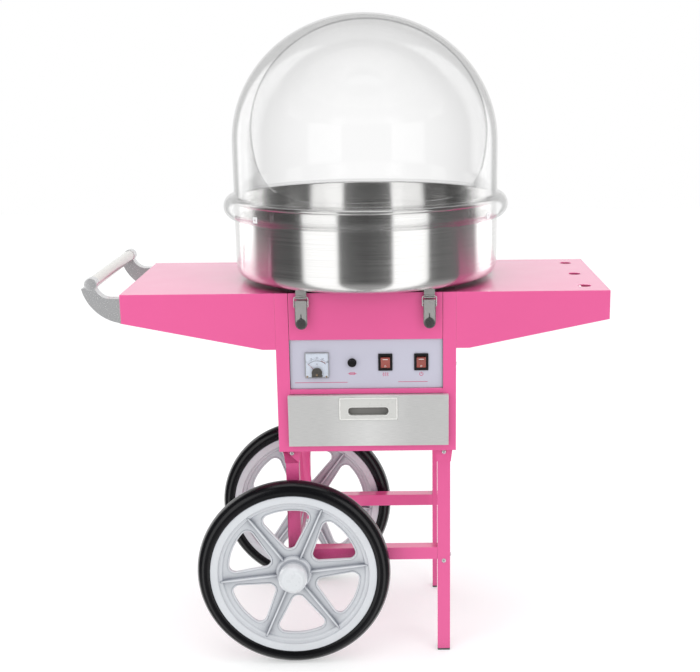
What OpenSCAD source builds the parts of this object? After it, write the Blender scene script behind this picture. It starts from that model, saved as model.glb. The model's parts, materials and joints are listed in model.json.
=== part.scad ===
// Cotton candy machine on a two-wheeled cart. Millimetres, +Z up.
// Modules are drawn about the middle of the cabinet, X right, Y back, and at_cart() puts
// them in the part's own frame, whose origin is under the middle of the whole machine.

/* [Cabinet] */
// Width of the cabinet between its outer faces
cab_w = 340; // [336:1:346]
// Depth of the cabinet from front to back
cab_d = 360; // [356:1:366]
// Height of the shelves and of the cabinet top above the floor
table_z = 742; // [738:1:746]
// Height of the underside of the cabinet above the floor
cab_bottom_z = 432; // [430:1:433]
// Thickness of the folded steel sheet
sheet = 1.5; // [1.2:0.1:1.8]
// Width of the front and rear corner posts
post_w = 25; // [24:0.5:25]

/* [Side shelves] */
// Length of each side shelf
shelf_l = 288; // [260:1:300]
// Height of a shelf's skirt at its outer end
shelf_end_h = 55; // [50:1:60]
// Height of a shelf's skirt at the cabinet
shelf_root_h = 108; // [100:1:112]
// Diameter of the holes that hold filled cones
cone_hole_d = 25; // [20:1:30]
// Distance between cone holes
cone_hole_pitch = 130; // [110:1:135]

/* [Legs and wheels] */
// Side of the square leg tube
leg_w = 25; // [24:0.5:25]
// Height of the top of the lower crossbars
crossbar_top_z = 223; // [221:1:230]
// Outer radius of a tyre
tyre_r = 189; // [187:0.5:191]
// Width of a tyre
tyre_w = 38; // [36:1:40]
// Distance from the cart's middle to the middle of a wheel
wheel_y = 192; // [191:0.5:194]
// Diameter of the axle
axle_d = 12; // [11:0.5:12]
// Number of wheel spokes
spokes = 6; // [5:1:7]

/* [Bowl and dome] */
// Outer diameter of the bowl
bowl_d = 520; // [516:1:524]
// Height of the bowl's underside above the floor
bowl_z = 749; // [748:0.5:750]
// Height of the bowl's rim above the floor
rim_z = 903; // [895:1:910]
// Distance from the cabinet's middle back to the bowl's axis
bowl_y = 14; // [12:1:16]
// Height of the dome's rounded cap above its straight wall
cap_h = 246; // [230:1:255]
// Height of the top of the dome above the floor
dome_top_z = 1252; // [1245:1:1260]
// Angle by which the dome's opening is turned to the right of the front
dome_turn = 5; // [0:1:8]

/* [Drawer] */
// Width of the drawer front
drawer_front_w = 305; // [298:1:308]
// Height of the drawer front
drawer_front_h = 100; // [96:1:100]
// Depth of the drawer box
drawer_depth = 300; // [250:1:310]

/* [Hidden] */
$fn = 96;
eps = 0.01;
// Places that several sub-parts share
cart_x = 35;                    // the cabinet's middle, from the middle of the whole machine
cart_y = -bowl_y;
half_w = cab_w / 2;
half_d = cab_d / 2;
bay_half = half_w - post_w;     // half the width between the posts
front_y = -half_d;
shelf_z = cab_bottom_z + 124;   // the ledge that the spinning unit stands on
strip_h = 9.5;                  // the ledge's front edge
rail_h = 13;                    // the cabinet floor's front edge
run_gap = 0.5;                  // gap round the spinning unit and the drawer
leg_c = half_w - 10 - leg_w / 2;
leg_cy = half_d - 20 - leg_w / 2;
axle_z = tyre_r;
axle_x = -leg_c;
run = 0.06;                     // radial running clearance of pins and shafts

// Side shelves
shelf_flat = 25;                // level stretch of the skirt's lower edge beside the cabinet
cone_x = half_w + shelf_l - 41;

// Handle
handle_drop = 7;                // from the shelf top down to the top of a bracket's root
bracket_w = 22;
bracket_arc_r = 85;             // the bracket's long lower curve
bracket_arc_x = 13;             // its centre, from the shelf's end and from the shelf's top
bracket_arc_z = 30;
bracket_in_r = 29;              // the bracket's tight upper curve
bracket_in_x = 17;
bracket_in_z = 22;
tube_r = 11;
tube_x = 52;                    // the hand tube's centre, from the same two edges
tube_z = 20;
shelf_end_x = -half_w - shelf_l;

// Wheels
rim_r = 163;                    // outside of the moulded wheel
rim_face_r = 148;               // inside of its rim face
rim_lip_r = 138;
rim_w = 34;
web_t = 6;
rib_t = 4;
hub_r = 24;
hub_in = 163.5;                 // inner and outer ends of the hub, from the cart's middle
hub_out = 222;
window_in = 50;
window_out = 128;
window_half_a = 16;             // from its middle line to the centre of an outer corner
window_corner = 13;
cap_r = 28;
cap_flat_r = 20;
cap_out = 241;
wheel_turn = 6.5;               // how far the spokes are turned at rest

// Spinning unit
unit_half = bay_half - run_gap;
unit_front = front_y + 0.5;
unit_back = half_d - 8;
face_z = shelf_z + 96;          // lower edge of the upper front face
panel_y = unit_front + 5;       // front of the control panel
panel_t = 1.2;
plate_z = table_z - sheet;      // underside of the unit's top plate
collar_r = 46;                  // hole round the shaft

// Control panel items: X from the cabinet's middle, Z
meter_x = -93.5;
meter_z = shelf_z + 46.6;
meter_w = 45;
meter_h = 49;
meter_body_r = 19;
needle_drop = 14;
fuse_x = -27;
fuse_z = shelf_z + 50.5;
fuse_r = 8.5;
fuse_stem_r = 3.5;
switch_xs = [36, 104];
switch_z = shelf_z + 51;
switch_w = 27;
switch_h = 33;
rocker_w = 17.6;
rocker_h = 20.4;
rocker_hole_w = 18.6;
rocker_hole_h = 23.4;
rocker_tilt = 9;
rocker_pivot_y = panel_y + 2;
rocker_pin_r = 1.2;

// Latches
latch_x = 119.5;
latch_w = 23;
pivot_y = unit_front - 9.5;
pivot_z = 725;
bail_drop = 7;                  // bail's pivot below the lever's pivot
wire_r = 1.25;
bail_half = latch_w / 2 + wire_r + 0.3;
lever_top = 5;
lever_l = 54;
lever_out = 6;
hook_z = 735;                   // top of the tab that the bail pulls on

// Bowl
bowl_r = bowl_d / 2;
bowl_t = 1.2;
bowl_corner = 18;
bead_r = 4;
bowl_hole_r = 52;
bowl_lip_h = 12;

// Spinning head
head_r = 70;
head_z = 776;
head_h = 30;
shaft_r = 5;
fill_r = 22;                    // hole that the sugar goes in by
motor_r = 42;
motor_z = 576;
motor_h = 86;
bracket_plate_z = motor_z + motor_h;
ring_z = bracket_plate_z + 18;  // slip rings on the shaft

// Dome
dome_r = bowl_r;
dome_t = 3;
dome_cap_z = dome_top_z - cap_h;
flange_z = rim_z - 16.3;        // middle height of the dome's rolled flange
flange_in_r = bowl_r + 2;
flange_out = 19;
flange_half_h = 22;
flange_seat = 16.6;
mouth_r = 100;                  // round corner of the opening, seen from the side
mouth_lean = 14.5;
mouth_z = 916;
mouth_y = -241.5;               // where the mouth's level edge turns up, from the dome's axis

// Drawer
drawer_x = 2.8;
drawer_z = cab_bottom_z + 14;
drawer_gap = 1;
drawer_front_t = 9.5;
drawer_box_half = bay_half - 4;
drawer_box_h = 88;
box_lift = 1.5;                 // underside of the box above the underside of its front
slide_gap = 0.3;
pull_w = 112;
pull_h = 45;
slot_w = 77;
slot_h = 17;

// ---- helpers ----

module at_cart() { translate([cart_x, cart_y, 0]) children(); }

// A box given by its lowest and highest corners
module block(lo, hi) { translate(lo) cube(hi - lo); }

// The same shape on the left and on the right
module both_sides() { children(); mirror([1, 0, 0]) children(); }

// A cylinder along Y from y0 to y1
module rod_y(r, x, z, y0, y1) { translate([x, y1, z]) rotate([90, 0, 0]) cylinder(r = r, h = y1 - y0); }

// A cylinder along X from x0 to x1
module rod_x(r, x0, x1, y, z) { translate([x0, y, z]) rotate([0, 90, 0]) cylinder(r = r, h = x1 - x0); }

// A flat plate with round corners that faces forwards
module face_plate(w, h, r, x, z, y0, y1) {
    translate([x, y1, z]) rotate([90, 0, 0]) linear_extrude(y1 - y0) round_rect(w, h, r);
}

module round_rect(w, h, r) {
    square([w - 2 * r, h], center = true);
    square([w, h - 2 * r], center = true);
    for (sx = [-1, 1], sz = [-1, 1])
        translate([sx * (w / 2 - r), sz * (h / 2 - r)]) circle(r = r);
}

// Points along an ellipse's arc
function arc(cx, cy, rx, ry, a0, a1, n) =
    [for (i = [0 : n]) let (a = a0 + (a1 - a0) * i / n) [cx + rx * cos(a), cy + ry * sin(a)]];

// ---- cabinet ----

runner_w = 30;
return_d = 12;

// The right-hand side: one folded sheet with a post at each corner and a ledge on top
module side_sheet() {
    z0 = cab_bottom_z + sheet;
    block([half_w - sheet, front_y, z0 + rail_h], [half_w, half_d, table_z]);
    block([half_w - sheet, front_y + sheet, z0], [half_w, half_d - sheet, z0 + rail_h + eps]);
    block([bay_half, front_y, z0 + rail_h], [half_w, front_y + sheet, table_z]);
    block([bay_half, half_d - sheet, z0 + rail_h], [half_w, half_d, table_z]);
    block([bay_half, front_y, plate_z], [half_w, half_d, table_z]);
    block([bay_half, front_y, z0 + rail_h], [bay_half + sheet, front_y + return_d, shelf_z - strip_h]);
    // runner that the drawer slides on
    block([half_w - sheet - runner_w, front_y + return_d, drawer_z + box_lift - slide_gap - sheet],
        [half_w - sheet + eps, half_d - 20, drawer_z + box_lift - slide_gap]);
}

module right_side_panel() { color("hotpink") at_cart() side_sheet(); }
module left_side_panel() { color("hotpink") at_cart() mirror([1, 0, 0]) side_sheet(); }

inlet_x = 70;
inlet_z = 640;
inlet_w = 48;
inlet_h = 28;

module back_panel() {
    slot_l = 60;
    color("hotpink") at_cart() difference() {
        block([-bay_half + 0.2, half_d - sheet, cab_bottom_z + sheet], [bay_half - 0.2, half_d, table_z]);
        face_plate(inlet_w + 22, inlet_h + 22, 5, inlet_x, inlet_z, half_d - 5, half_d + 1);
        for (i = [0 : 4], x = [-50, 50])
            face_plate(slot_l, 4, 1.9, x, 480 + 12 * i, half_d - 5, half_d + 1);
    }
}

module floor_pan() {
    color("hotpink") at_cart() {
        block([-half_w, front_y, cab_bottom_z], [half_w, half_d, cab_bottom_z + sheet]);
        block([-half_w, front_y, cab_bottom_z], [half_w, front_y + sheet, cab_bottom_z + rail_h + sheet]);
        for (s = [0, 1]) mirror([s, 0, 0])
            block([bay_half, half_d - sheet, cab_bottom_z], [half_w, half_d, cab_bottom_z + rail_h + sheet]);
    }
}

module machine_shelf() {
    color("hotpink") at_cart() difference() {
        union() {
            block([-half_w + sheet, front_y + return_d, shelf_z - sheet],
                [half_w - sheet, half_d - sheet, shelf_z]);
            block([-bay_half, front_y, shelf_z - sheet], [bay_half, front_y + return_d + eps, shelf_z]);
            block([-bay_half, front_y, shelf_z - strip_h], [bay_half, front_y + sheet, shelf_z]);
        }
        translate([0, bowl_y, shelf_z - 5]) cylinder(r = 30, h = 10);
    }
}

// ---- side shelves ----

// Side view of a shelf's skirt, X along the shelf from the cabinet, Y up from the shelf's top
module skirt_outline(l, inset) {
    polygon([[inset, 0], [l - inset, 0], [l - inset, -shelf_end_h + inset],
        [shelf_flat, -shelf_root_h + inset], [inset, -shelf_root_h + inset]]);
}

// A tray that is open underneath, with its four walls and its top
module shelf_tray(l) {
    translate([half_w, 0, table_z]) difference() {
        translate([0, half_d, 0]) rotate([90, 0, 0]) linear_extrude(cab_d) skirt_outline(l, 0);
        translate([sheet, -half_d + sheet, -shelf_root_h - 1])
            cube([l - 2 * sheet, cab_d - 2 * sheet, shelf_root_h + 1 - sheet]);
    }
}

module left_shelf() { color("hotpink") at_cart() mirror([1, 0, 0]) shelf_tray(shelf_l); }

module right_shelf() {
    color("hotpink") at_cart() difference() {
        shelf_tray(shelf_l);
        for (i = [-1 : 1])
            translate([cone_x, i * cone_hole_pitch, table_z - 2 * sheet])
                cylinder(d = cone_hole_d, h = 4 * sheet);
    }
}

// ---- handle ----

// Side view of a bracket: two arcs that run from the shelf's end to the hand tube
module bracket_outline() {
    arc_c = [shelf_end_x + bracket_arc_x, table_z + bracket_arc_z];
    in_c = [shelf_end_x - bracket_in_x, table_z + bracket_in_z];
    polygon(concat(
        [[shelf_end_x, table_z - shelf_end_h]],
        arc(arc_c[0], arc_c[1], bracket_arc_r, bracket_arc_r, 258, 192, 22),
        arc(in_c[0], in_c[1], bracket_in_r, bracket_in_r, 190, 262, 16),
        [[shelf_end_x, table_z - handle_drop]]));
}

module bracket(y0) {
    color("silver") at_cart() difference() {
        translate([0, y0 + bracket_w, 0]) rotate([90, 0, 0]) linear_extrude(bracket_w) bracket_outline();
        rod_y(tube_r + eps, shelf_end_x - tube_x, table_z + tube_z, y0 - 1, y0 + bracket_w + 1);
    }
}

module handle_bracket_front() { bracket(front_y); }
module handle_bracket_rear() { bracket(half_d - bracket_w); }

module handle_tube() {
    end_inset = 1.5;
    color("ivory") at_cart() translate([shelf_end_x - tube_x, half_d - end_inset, table_z + tube_z])
        rotate([90, 0, 0]) rotate_extrude() {
            l = cab_d - 2 * end_inset;
            edge = 2;
            polygon(concat([[0, 0]], arc(tube_r - edge, edge, edge, edge, 270, 360, 6),
                arc(tube_r - edge, l - edge, edge, edge, 0, 90, 6), [[0, l]]));
        }
}

// ---- legs and lower frame ----

tube_t = 1.5;
tab_h = 29;
tab_top_w = 33;
tab_low_w = 27;
left_leg_z = axle_z - 20;
foot_h = 4;

// A square tube leg from z0 up to the cabinet, with its screw tab in front
module leg_tube(z0) {
    translate([leg_c, leg_cy, 0]) difference() {
        union() {
            block([-leg_w / 2, -leg_w / 2, z0], [leg_w / 2, leg_w / 2, cab_bottom_z]);
            translate([0, leg_w / 2 + sheet, cab_bottom_z]) rotate([90, 0, 0]) linear_extrude(sheet)
                polygon([[-tab_top_w / 2, 0], [tab_top_w / 2, 0], [tab_top_w / 2, -6],
                    [tab_low_w / 2, -tab_h], [-tab_low_w / 2, -tab_h], [-tab_top_w / 2, -6]]);
        }
        block([-leg_w / 2 + tube_t, -leg_w / 2 + tube_t, z0 - 1],
            [leg_w / 2 - tube_t, leg_w / 2 - tube_t, cab_bottom_z + 1]);
    }
}

// sx and sy choose the corner: -1 is left or front, 1 is right or rear
module leg(sx, sy) {
    color("hotpink") at_cart() difference() {
        mirror([sx < 0 ? 1 : 0, 0, 0]) mirror([0, sy < 0 ? 1 : 0, 0])
            leg_tube(sx < 0 ? left_leg_z : foot_h);
        if (sx < 0) rod_y(axle_d / 2, axle_x, axle_z, -half_d - 10, half_d + 10);
    }
}

module leg_front_left() { leg(-1, -1); }
module leg_rear_left() { leg(-1, 1); }
module leg_front_right() { leg(1, -1); }
module leg_rear_right() { leg(1, 1); }

module crossbar(sy) {
    x = leg_c - leg_w / 2;
    color("hotpink") at_cart() translate([0, sy * leg_cy, crossbar_top_z - leg_w / 2]) difference() {
        cube([2 * x, leg_w, leg_w], center = true);
        cube([2 * x + 2, leg_w - 2 * tube_t, leg_w - 2 * tube_t], center = true);
    }
}

module crossbar_front() { crossbar(-1); }
module crossbar_rear() { crossbar(1); }

module foot_caps() {
    plug = leg_w - 2 * tube_t;
    color("dimgray") at_cart() for (sy = [-1, 1]) translate([leg_c, sy * leg_cy, 0]) {
        block([-leg_w / 2, -leg_w / 2, 0], [leg_w / 2, leg_w / 2, foot_h]);
        block([-plug / 2, -plug / 2, foot_h - eps], [plug / 2, plug / 2, foot_h + 14]);
    }
}

pin_y = 227;
pin_r = 1.5;
axle_end = 231;

module axle() {
    color("silver") at_cart() difference() {
        rod_y(axle_d / 2, axle_x, axle_z, -axle_end, axle_end);
        for (s = [-1, 1]) translate([axle_x, s * pin_y, axle_z - axle_d]) cylinder(r = pin_r, h = 2 * axle_d);
    }
}

// Washers on both sides of each hub, and a cross pin through each end of the axle
module axle_hardware() {
    washer_r = 12;
    leg_face = leg_cy + leg_w / 2;
    inner_t = hub_in - leg_face - 0.3;
    color("silver") at_cart() for (s = [0, 1]) mirror([0, s, 0]) {
        for (y = [[leg_face, leg_face + inner_t], [hub_out + 0.3, pin_y - pin_r]]) difference() {
            rod_y(washer_r, axle_x, axle_z, y[0], y[1]);
            rod_y(axle_d / 2, axle_x, axle_z, y[0] - 1, y[1] + 1);
        }
        translate([axle_x, pin_y, axle_z - 10.5]) cylinder(r = pin_r, h = 21);
    }
}

// A pan-head screw that faces forwards, with a recess across its head
module screw_head(x, z, y, r, h) {
    difference() {
        translate([x, y, z]) rotate([90, 0, 0]) rotate_extrude()
            polygon(concat([[0, 0], [r, 0]], arc(0, h * 0.3, r, h * 0.7, 0, 90, 8)));
        for (a = [0, 90]) translate([x, y - h, z]) rotate([0, a, 0])
            cube([r * 1.1, h * 0.8, r * 0.25], center = true);
    }
}

module cart_screws() {
    tab_y = -leg_cy - leg_w / 2 - sheet;
    color("silver") at_cart() {
        for (s = [0, 1]) mirror([0, s, 0]) for (x = [-leg_c, leg_c])
            screw_head(x, cab_bottom_z - 9, tab_y, 4.5, 3);
        for (s = [0, 1]) mirror([0, s, 0]) screw_head(leg_c, axle_z + 6, tab_y + sheet, 4.5, 3);
        // side screws of the cabinet and of the legs
        both_sides() for (y = [-leg_cy, leg_cy], z = [axle_z + 14, cab_bottom_z - 10])
            if (z > left_leg_z) translate([leg_c + leg_w / 2, y, z]) rotate([0, 90, 0]) cylinder(r = 4, h = 2);
        both_sides() for (y = [-leg_cy, leg_cy]) translate([half_w, y, 596]) rotate([0, 90, 0])
            cylinder(r = 3.5, h = 2);
    }
}

// ---- wheels, drawn with their axis on Z and their outer side up ----

module wheel_place(s) {
    at_cart() translate([axle_x, s * wheel_y, axle_z]) rotate([s < 0 ? 90 : -90, 0, 0])
        rotate([0, 0, wheel_turn]) children();
}

// One window: a triangle with round corners, pointing at the hub
module wheel_window(r_in, r_out, half_a, corner) {
    for (a = [-1, 1]) translate([(r_out - corner) * cos(a * half_a), (r_out - corner) * sin(a * half_a)])
        circle(r = corner, $fn = 40);
    translate([r_in + corner, 0]) circle(r = corner, $fn = 40);
    polygon(concat(
        [[r_in + corner * 1.5, corner * 0.87], [r_in + corner * 1.5, -corner * 0.87]],
        [for (i = [-4 : 4]) let (a = i / 4 * half_a) [r_out * cos(a), r_out * sin(a)]]));
    for (a = [-1, 1]) mirror([0, a < 0 ? 1 : 0, 0]) window_edge(r_in, r_out, half_a, corner);
}

// Straight side of a window, between its point and one outer corner
module window_edge(r_in, r_out, half_a, corner) {
    p = [r_in + corner, 0];
    q = [(r_out - corner) * cos(half_a), (r_out - corner) * sin(half_a)];
    d = (q - p) / norm(q - p);
    n = [-d[1], d[0]] * corner;
    polygon([p, p + n, q + n, q]);
}

module wheel_rim(s) {
    hub_lo = hub_in - wheel_y;
    hub_hi = hub_out - wheel_y;
    face = rim_w / 2;
    step = 360 / spokes;
    color("gainsboro") wheel_place(s) difference() {
        union() {
            // the rim, with two steps down to the web
            rotate_extrude($fn = 180) polygon([[rim_r, -face], [rim_r, face], [rim_face_r, face],
                [rim_face_r, face - 5], [rim_lip_r + 3, face - 7], [rim_lip_r, web_t / 2 + 2],
                [rim_lip_r - 8, web_t / 2], [rim_lip_r - 8, -web_t / 2], [rim_lip_r, -web_t / 2 - 2],
                [rim_lip_r + 3, 7 - face], [rim_face_r, 5 - face], [rim_face_r, -face]]);
            translate([0, 0, -web_t / 2]) linear_extrude(web_t) difference() {
                circle(r = rim_lip_r);
                for (i = [0 : spokes - 1]) rotate((i + 0.5) * step)
                    wheel_window(window_in, window_out, window_half_a, window_corner);
            }
            for (i = [0 : spokes - 1]) rotate([0, 0, i * step])
                block([hub_r - 2, -rib_t / 2, -face + 5], [rim_face_r - 2, rib_t / 2, face - 5]);
            translate([0, 0, hub_lo]) cylinder(r = hub_r, h = hub_hi - hub_lo);
            translate([0, 0, -12]) cylinder(r = hub_r + 8, h = 24);
        }
        translate([0, 0, hub_lo - 1]) cylinder(r = axle_d / 2 + run, h = hub_hi - hub_lo + 2);
    }
}

module wheel_tyre(s) {
    crown = tyre_r - rim_r;
    color([0.08, 0.08, 0.09]) wheel_place(s) rotate_extrude($fn = 180)
        polygon(concat([[rim_r, -tyre_w / 2 + 2]],
            arc(rim_r + crown * 0.35, 0, crown * 0.65, tyre_w / 2, -90, 90, 20),
            [[rim_r, tyre_w / 2 - 2]]));
}

module hub_cap(s) {
    base = hub_out - wheel_y - 6;
    top = cap_out - wheel_y;
    color("whitesmoke") wheel_place(s) difference() {
        rotate_extrude() polygon(concat([[0, base], [cap_r, base]],
            arc(cap_flat_r, top - 12, cap_r - cap_flat_r, 12, 0, 90, 8), [[0, top]]));
        translate([0, 0, base - 1]) cylinder(r = hub_r, h = 7);
        translate([0, 0, base + 5]) cylinder(r = hub_r - 6, h = top - base - 8);
    }
}

module front_wheel_rim() { wheel_rim(-1); }
module rear_wheel_rim() { wheel_rim(1); }
module front_wheel_tyre() { wheel_tyre(-1); }
module rear_wheel_tyre() { wheel_tyre(1); }
module front_hub_cap() { hub_cap(-1); }
module rear_hub_cap() { hub_cap(1); }

// ---- spinning unit ----

wall = 1.2;

// Folded box: floor, sides, back, the upper front face and the frame behind the control panel
module machine_housing() {
    z1 = plate_z;
    back_wall = unit_back - wall;
    seat_y = panel_y + panel_t;
    color("hotpink") at_cart() difference() {
        union() {
            block([-unit_half, seat_y, shelf_z], [unit_half, unit_back, shelf_z + wall]);
            for (s = [0, 1]) mirror([s, 0, 0])
                block([unit_half - wall, seat_y, shelf_z], [unit_half, unit_back, z1]);
            block([-unit_half, back_wall, shelf_z], [unit_half, unit_back, z1]);
            block([-unit_half, unit_front, face_z], [unit_half, unit_front + wall, z1]);
            for (s = [0, 1]) mirror([s, 0, 0])
                block([unit_half - wall, unit_front, face_z], [unit_half, seat_y + eps, z1]);
            block([-unit_half, unit_front, face_z], [unit_half, seat_y + wall, face_z + wall]);
            block([-unit_half, seat_y, shelf_z], [unit_half, seat_y + wall, face_z + wall]);
        }
        block([-unit_half + 12, seat_y - 1, shelf_z + 8], [unit_half - 12, seat_y + wall + 1, face_z - 8]);
        face_plate(inlet_w, inlet_h, 3, inlet_x, inlet_z, back_wall - 1, unit_back + 1);
    }
}

module machine_top_plate() {
    color("hotpink") at_cart() difference() {
        block([-unit_half, unit_front, plate_z], [unit_half, unit_back, table_z]);
        translate([0, bowl_y, plate_z - 1]) cylinder(r = collar_r, h = sheet + 2);
    }
}

module control_panel() {
    color("silver") at_cart() difference() {
        block([-unit_half, panel_y, shelf_z + 0.3], [unit_half, panel_y + panel_t, face_z - 0.3]);
        rod_y(meter_body_r + 0.5, meter_x, meter_z, panel_y - 1, panel_y + 3);
        rod_y(fuse_r - 2.3, fuse_x, fuse_z, panel_y - 1, panel_y + 3);
        for (x = switch_xs) face_plate(switch_w - 4.6, switch_h - 4.6, 0.5, x, switch_z,
            panel_y - 1, panel_y + 3);
    }
}

// ---- voltmeter ----

meter_front = panel_y - 9.5;    // front of the clear cover
pivot_in = needle_drop;

module voltmeter_case() {
    z0 = meter_z - meter_h / 2;
    color("dimgray") at_cart() {
        face_plate(meter_w, meter_h, 1, meter_x, meter_z, panel_y - 2, panel_y);
        rod_y(meter_body_r, meter_x, meter_z, panel_y - eps, panel_y + 34);
        // half-round shield in front of the pivot, on its foot
        translate([meter_x, panel_y - 6.2, meter_z - pivot_in]) rotate([90, 0, 0]) linear_extrude(1.6)
            intersection() {
                circle(r = 10);
                translate([-10, -5]) square([20, 15]);
            }
        block([meter_x - 10, panel_y - 7.8, z0 + 2.2], [meter_x + 10, panel_y - 2 + eps, z0 + 5.6]);
    }
}

module voltmeter_dial() {
    color("white") at_cart()
        face_plate(meter_w - 5, meter_h - 14, 0.6, meter_x, meter_z + 5, panel_y - 2.5, panel_y - 2);
}

module voltmeter_needle() {
    color("firebrick") at_cart() translate([meter_x, 0, meter_z - pivot_in]) rotate([0, -45, 0]) {
        block([-0.4, panel_y - 4.6, 0], [0.4, panel_y - 4, 24]);
        rod_y(2.2, 0, 0, panel_y - 5.4, panel_y - 3);
    }
}

module voltmeter_cover() {
    color([0.8, 0.9, 0.95, 0.4]) at_cart() difference() {
        face_plate(meter_w, meter_h, 2, meter_x, meter_z, meter_front, panel_y - 2);
        face_plate(meter_w - 3, meter_h - 3, 1, meter_x, meter_z, meter_front + 1.2, panel_y - 1);
    }
}

// ---- fuse and switches ----

module fuse_holder() {
    color([0.1, 0.1, 0.1]) at_cart() difference() {
        union() {
            rod_y(fuse_r, fuse_x, fuse_z, panel_y - 2.5, panel_y);
            rod_y(fuse_r - 2.5, fuse_x, fuse_z, panel_y - eps, panel_y + 34);
        }
        rod_y(fuse_stem_r + run, fuse_x, fuse_z, panel_y - 3, panel_y + 30);
    }
}

module fuse_cap() {
    knob_r = fuse_r - 1.7;
    color([0.1, 0.1, 0.1]) at_cart() difference() {
        union() {
            rod_y(knob_r, fuse_x, fuse_z, panel_y - 9, panel_y - 2.8);
            rod_y(fuse_stem_r, fuse_x, fuse_z, panel_y - 3, panel_y + 28);
        }
        translate([fuse_x, panel_y - 9, fuse_z]) cube([2 * knob_r + 1, 2.4, 1.6], center = true);
    }
}

module switch_body(x) {
    depth = 22;
    color([0.1, 0.1, 0.1]) at_cart() difference() {
        union() {
            face_plate(switch_w, switch_h, 1.5, x, switch_z, panel_y - 2.5, panel_y);
            face_plate(switch_w - 5, switch_h - 5, 0.5, x, switch_z, panel_y - eps, panel_y + depth);
        }
        face_plate(rocker_hole_w, rocker_hole_h, 0.5, x, switch_z, panel_y - 3, panel_y + 12);
        rod_x(rocker_pin_r + run, x - switch_w / 2 + 3.4, x + switch_w / 2 - 3.4, rocker_pivot_y, switch_z);
    }
}

// Side view of the rocker about its pivot: a shallow V in front, a keel behind
module switch_rocker(x) {
    h = rocker_h / 2;
    color([0.85, 0.35, 0.3]) at_cart() translate([x, rocker_pivot_y, switch_z]) rotate([rocker_tilt, 0, 0]) {
        rotate([90, 0, 90]) translate([0, 0, -rocker_w / 2]) linear_extrude(rocker_w)
            polygon([[-6.5, h], [-5, 0], [-6.5, -h], [-1, -h], [5, -4], [5, 4], [-1, h]]);
        rod_x(rocker_pin_r, -rocker_w / 2 - 1.2, rocker_w / 2 + 1.2, 0, 0);
    }
}

module heat_switch_body() { switch_body(switch_xs[0]); }
module power_switch_body() { switch_body(switch_xs[1]); }
module heat_switch_rocker() { switch_rocker(switch_xs[0]); }
module power_switch_rocker() { switch_rocker(switch_xs[1]); }

module power_inlet() {
    y = unit_back;
    color([0.1, 0.1, 0.1]) at_cart() {
        difference() {
            union() {
                face_plate(inlet_w + 8, inlet_h + 6, 3, inlet_x, inlet_z, y, y + 3);
                face_plate(inlet_w - 1, inlet_h - 1, 2.5, inlet_x, inlet_z, y - 24, y + eps);
            }
            face_plate(inlet_w - 14, inlet_h - 10, 3, inlet_x, inlet_z, y - 18, y + 4);
        }
        for (p = [[0, 3], [-8, -3], [8, -3]])
            block([inlet_x + p[0] - 1, y - 19, inlet_z + p[1] - 2.5], [inlet_x + p[0] + 1, y - 2, inlet_z + p[1] + 2.5]);
    }
}

// ---- latches, drawn about their own middle line ----

ear_in = 8.3;
ear_t = 1.5;
ear_r = 3.5;
flange_t = 1.2;

// Round ear that carries the lever's pin
module latch_ear() {
    rod_x(ear_r, ear_in, ear_in + ear_t, pivot_y, pivot_z);
    block([ear_in, pivot_y, pivot_z - ear_r], [ear_in + ear_t, unit_front - sheet + eps, pivot_z + ear_r]);
}

module latch_base() {
    difference() {
        union() {
            block([-10, unit_front - sheet, pivot_z - 44], [10, unit_front, pivot_z + 4]);
            for (s = [0, 1]) mirror([s, 0, 0])
                latch_ear();
        }
        rod_x(2 + run, -20, 20, pivot_y, pivot_z);
    }
}

module latch_bases() {
    color("silver") at_cart() for (x = [-latch_x, latch_x]) translate([x, 0, 0]) latch_base();
}

module latch_lever(x) {
    half = latch_w / 2;
    plate_y = pivot_y - lever_out;
    tip_r = half - 0.5;
    z_tip = pivot_z + lever_top - lever_l + tip_r;
    color("silver") at_cart() translate([x, 0, 0]) difference() {
        union() {
            block([-half, plate_y, z_tip], [half, plate_y + flange_t, pivot_z + lever_top]);
            rod_y(tip_r, 0, z_tip, plate_y, plate_y + flange_t);
            for (s = [0, 1]) mirror([s, 0, 0])
                block([half - flange_t, plate_y, pivot_z - 24], [half, pivot_y + 2.8, pivot_z + lever_top - 1]);
            rod_x(2, -half + eps, half - eps, pivot_y, pivot_z);
        }
        rod_x(wire_r + run, -half - 1, half + 1, pivot_y, pivot_z - bail_drop);
        // keyhole of the spring catch
        rod_y(1.6, 0, z_tip + 9, plate_y - 1, plate_y + 2);
        block([-0.7, plate_y - 1, z_tip + 9], [0.7, plate_y + 2, z_tip + 17]);
    }
}

// Wire loop: two side wires with ends bent inwards, and a top wire
module latch_bail(x) {
    top = hook_z + 0.25 + wire_r;
    low = pivot_z - bail_drop;
    color("silver") at_cart() translate([x, pivot_y, 0]) {
        for (s = [0, 1]) mirror([s, 0, 0]) {
            translate([bail_half, 0, low]) cylinder(r = wire_r, h = top - low);
            translate([bail_half, 0, low]) sphere(r = wire_r);
            translate([bail_half, 0, top]) sphere(r = wire_r);
            rod_x(wire_r, latch_w / 2 - flange_t + 0.1, bail_half, 0, low);
        }
        rod_x(wire_r, -bail_half, bail_half, 0, top);
    }
}

module left_latch_lever() { latch_lever(-latch_x); }
module right_latch_lever() { latch_lever(latch_x); }
module left_latch_bail() { latch_bail(-latch_x); }
module right_latch_bail() { latch_bail(latch_x); }

// Angle tabs under the bowl that the bails pull down
module bowl_hooks() {
    hook_half = 10;
    hook_back = pivot_y + 4;
    color("silver") at_cart() for (x = [-latch_x, latch_x]) translate([x, 0, 0]) {
        block([-hook_half, hook_back - sheet, hook_z - 2], [hook_half, hook_back, bowl_z]);
        block([-hook_half, pivot_y - 3, hook_z - 2], [hook_half, hook_back, hook_z]);
    }
}

// ---- bowl, drawn about its axis ----

module at_bowl() { at_cart() translate([0, bowl_y, 0]) children(); }

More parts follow.
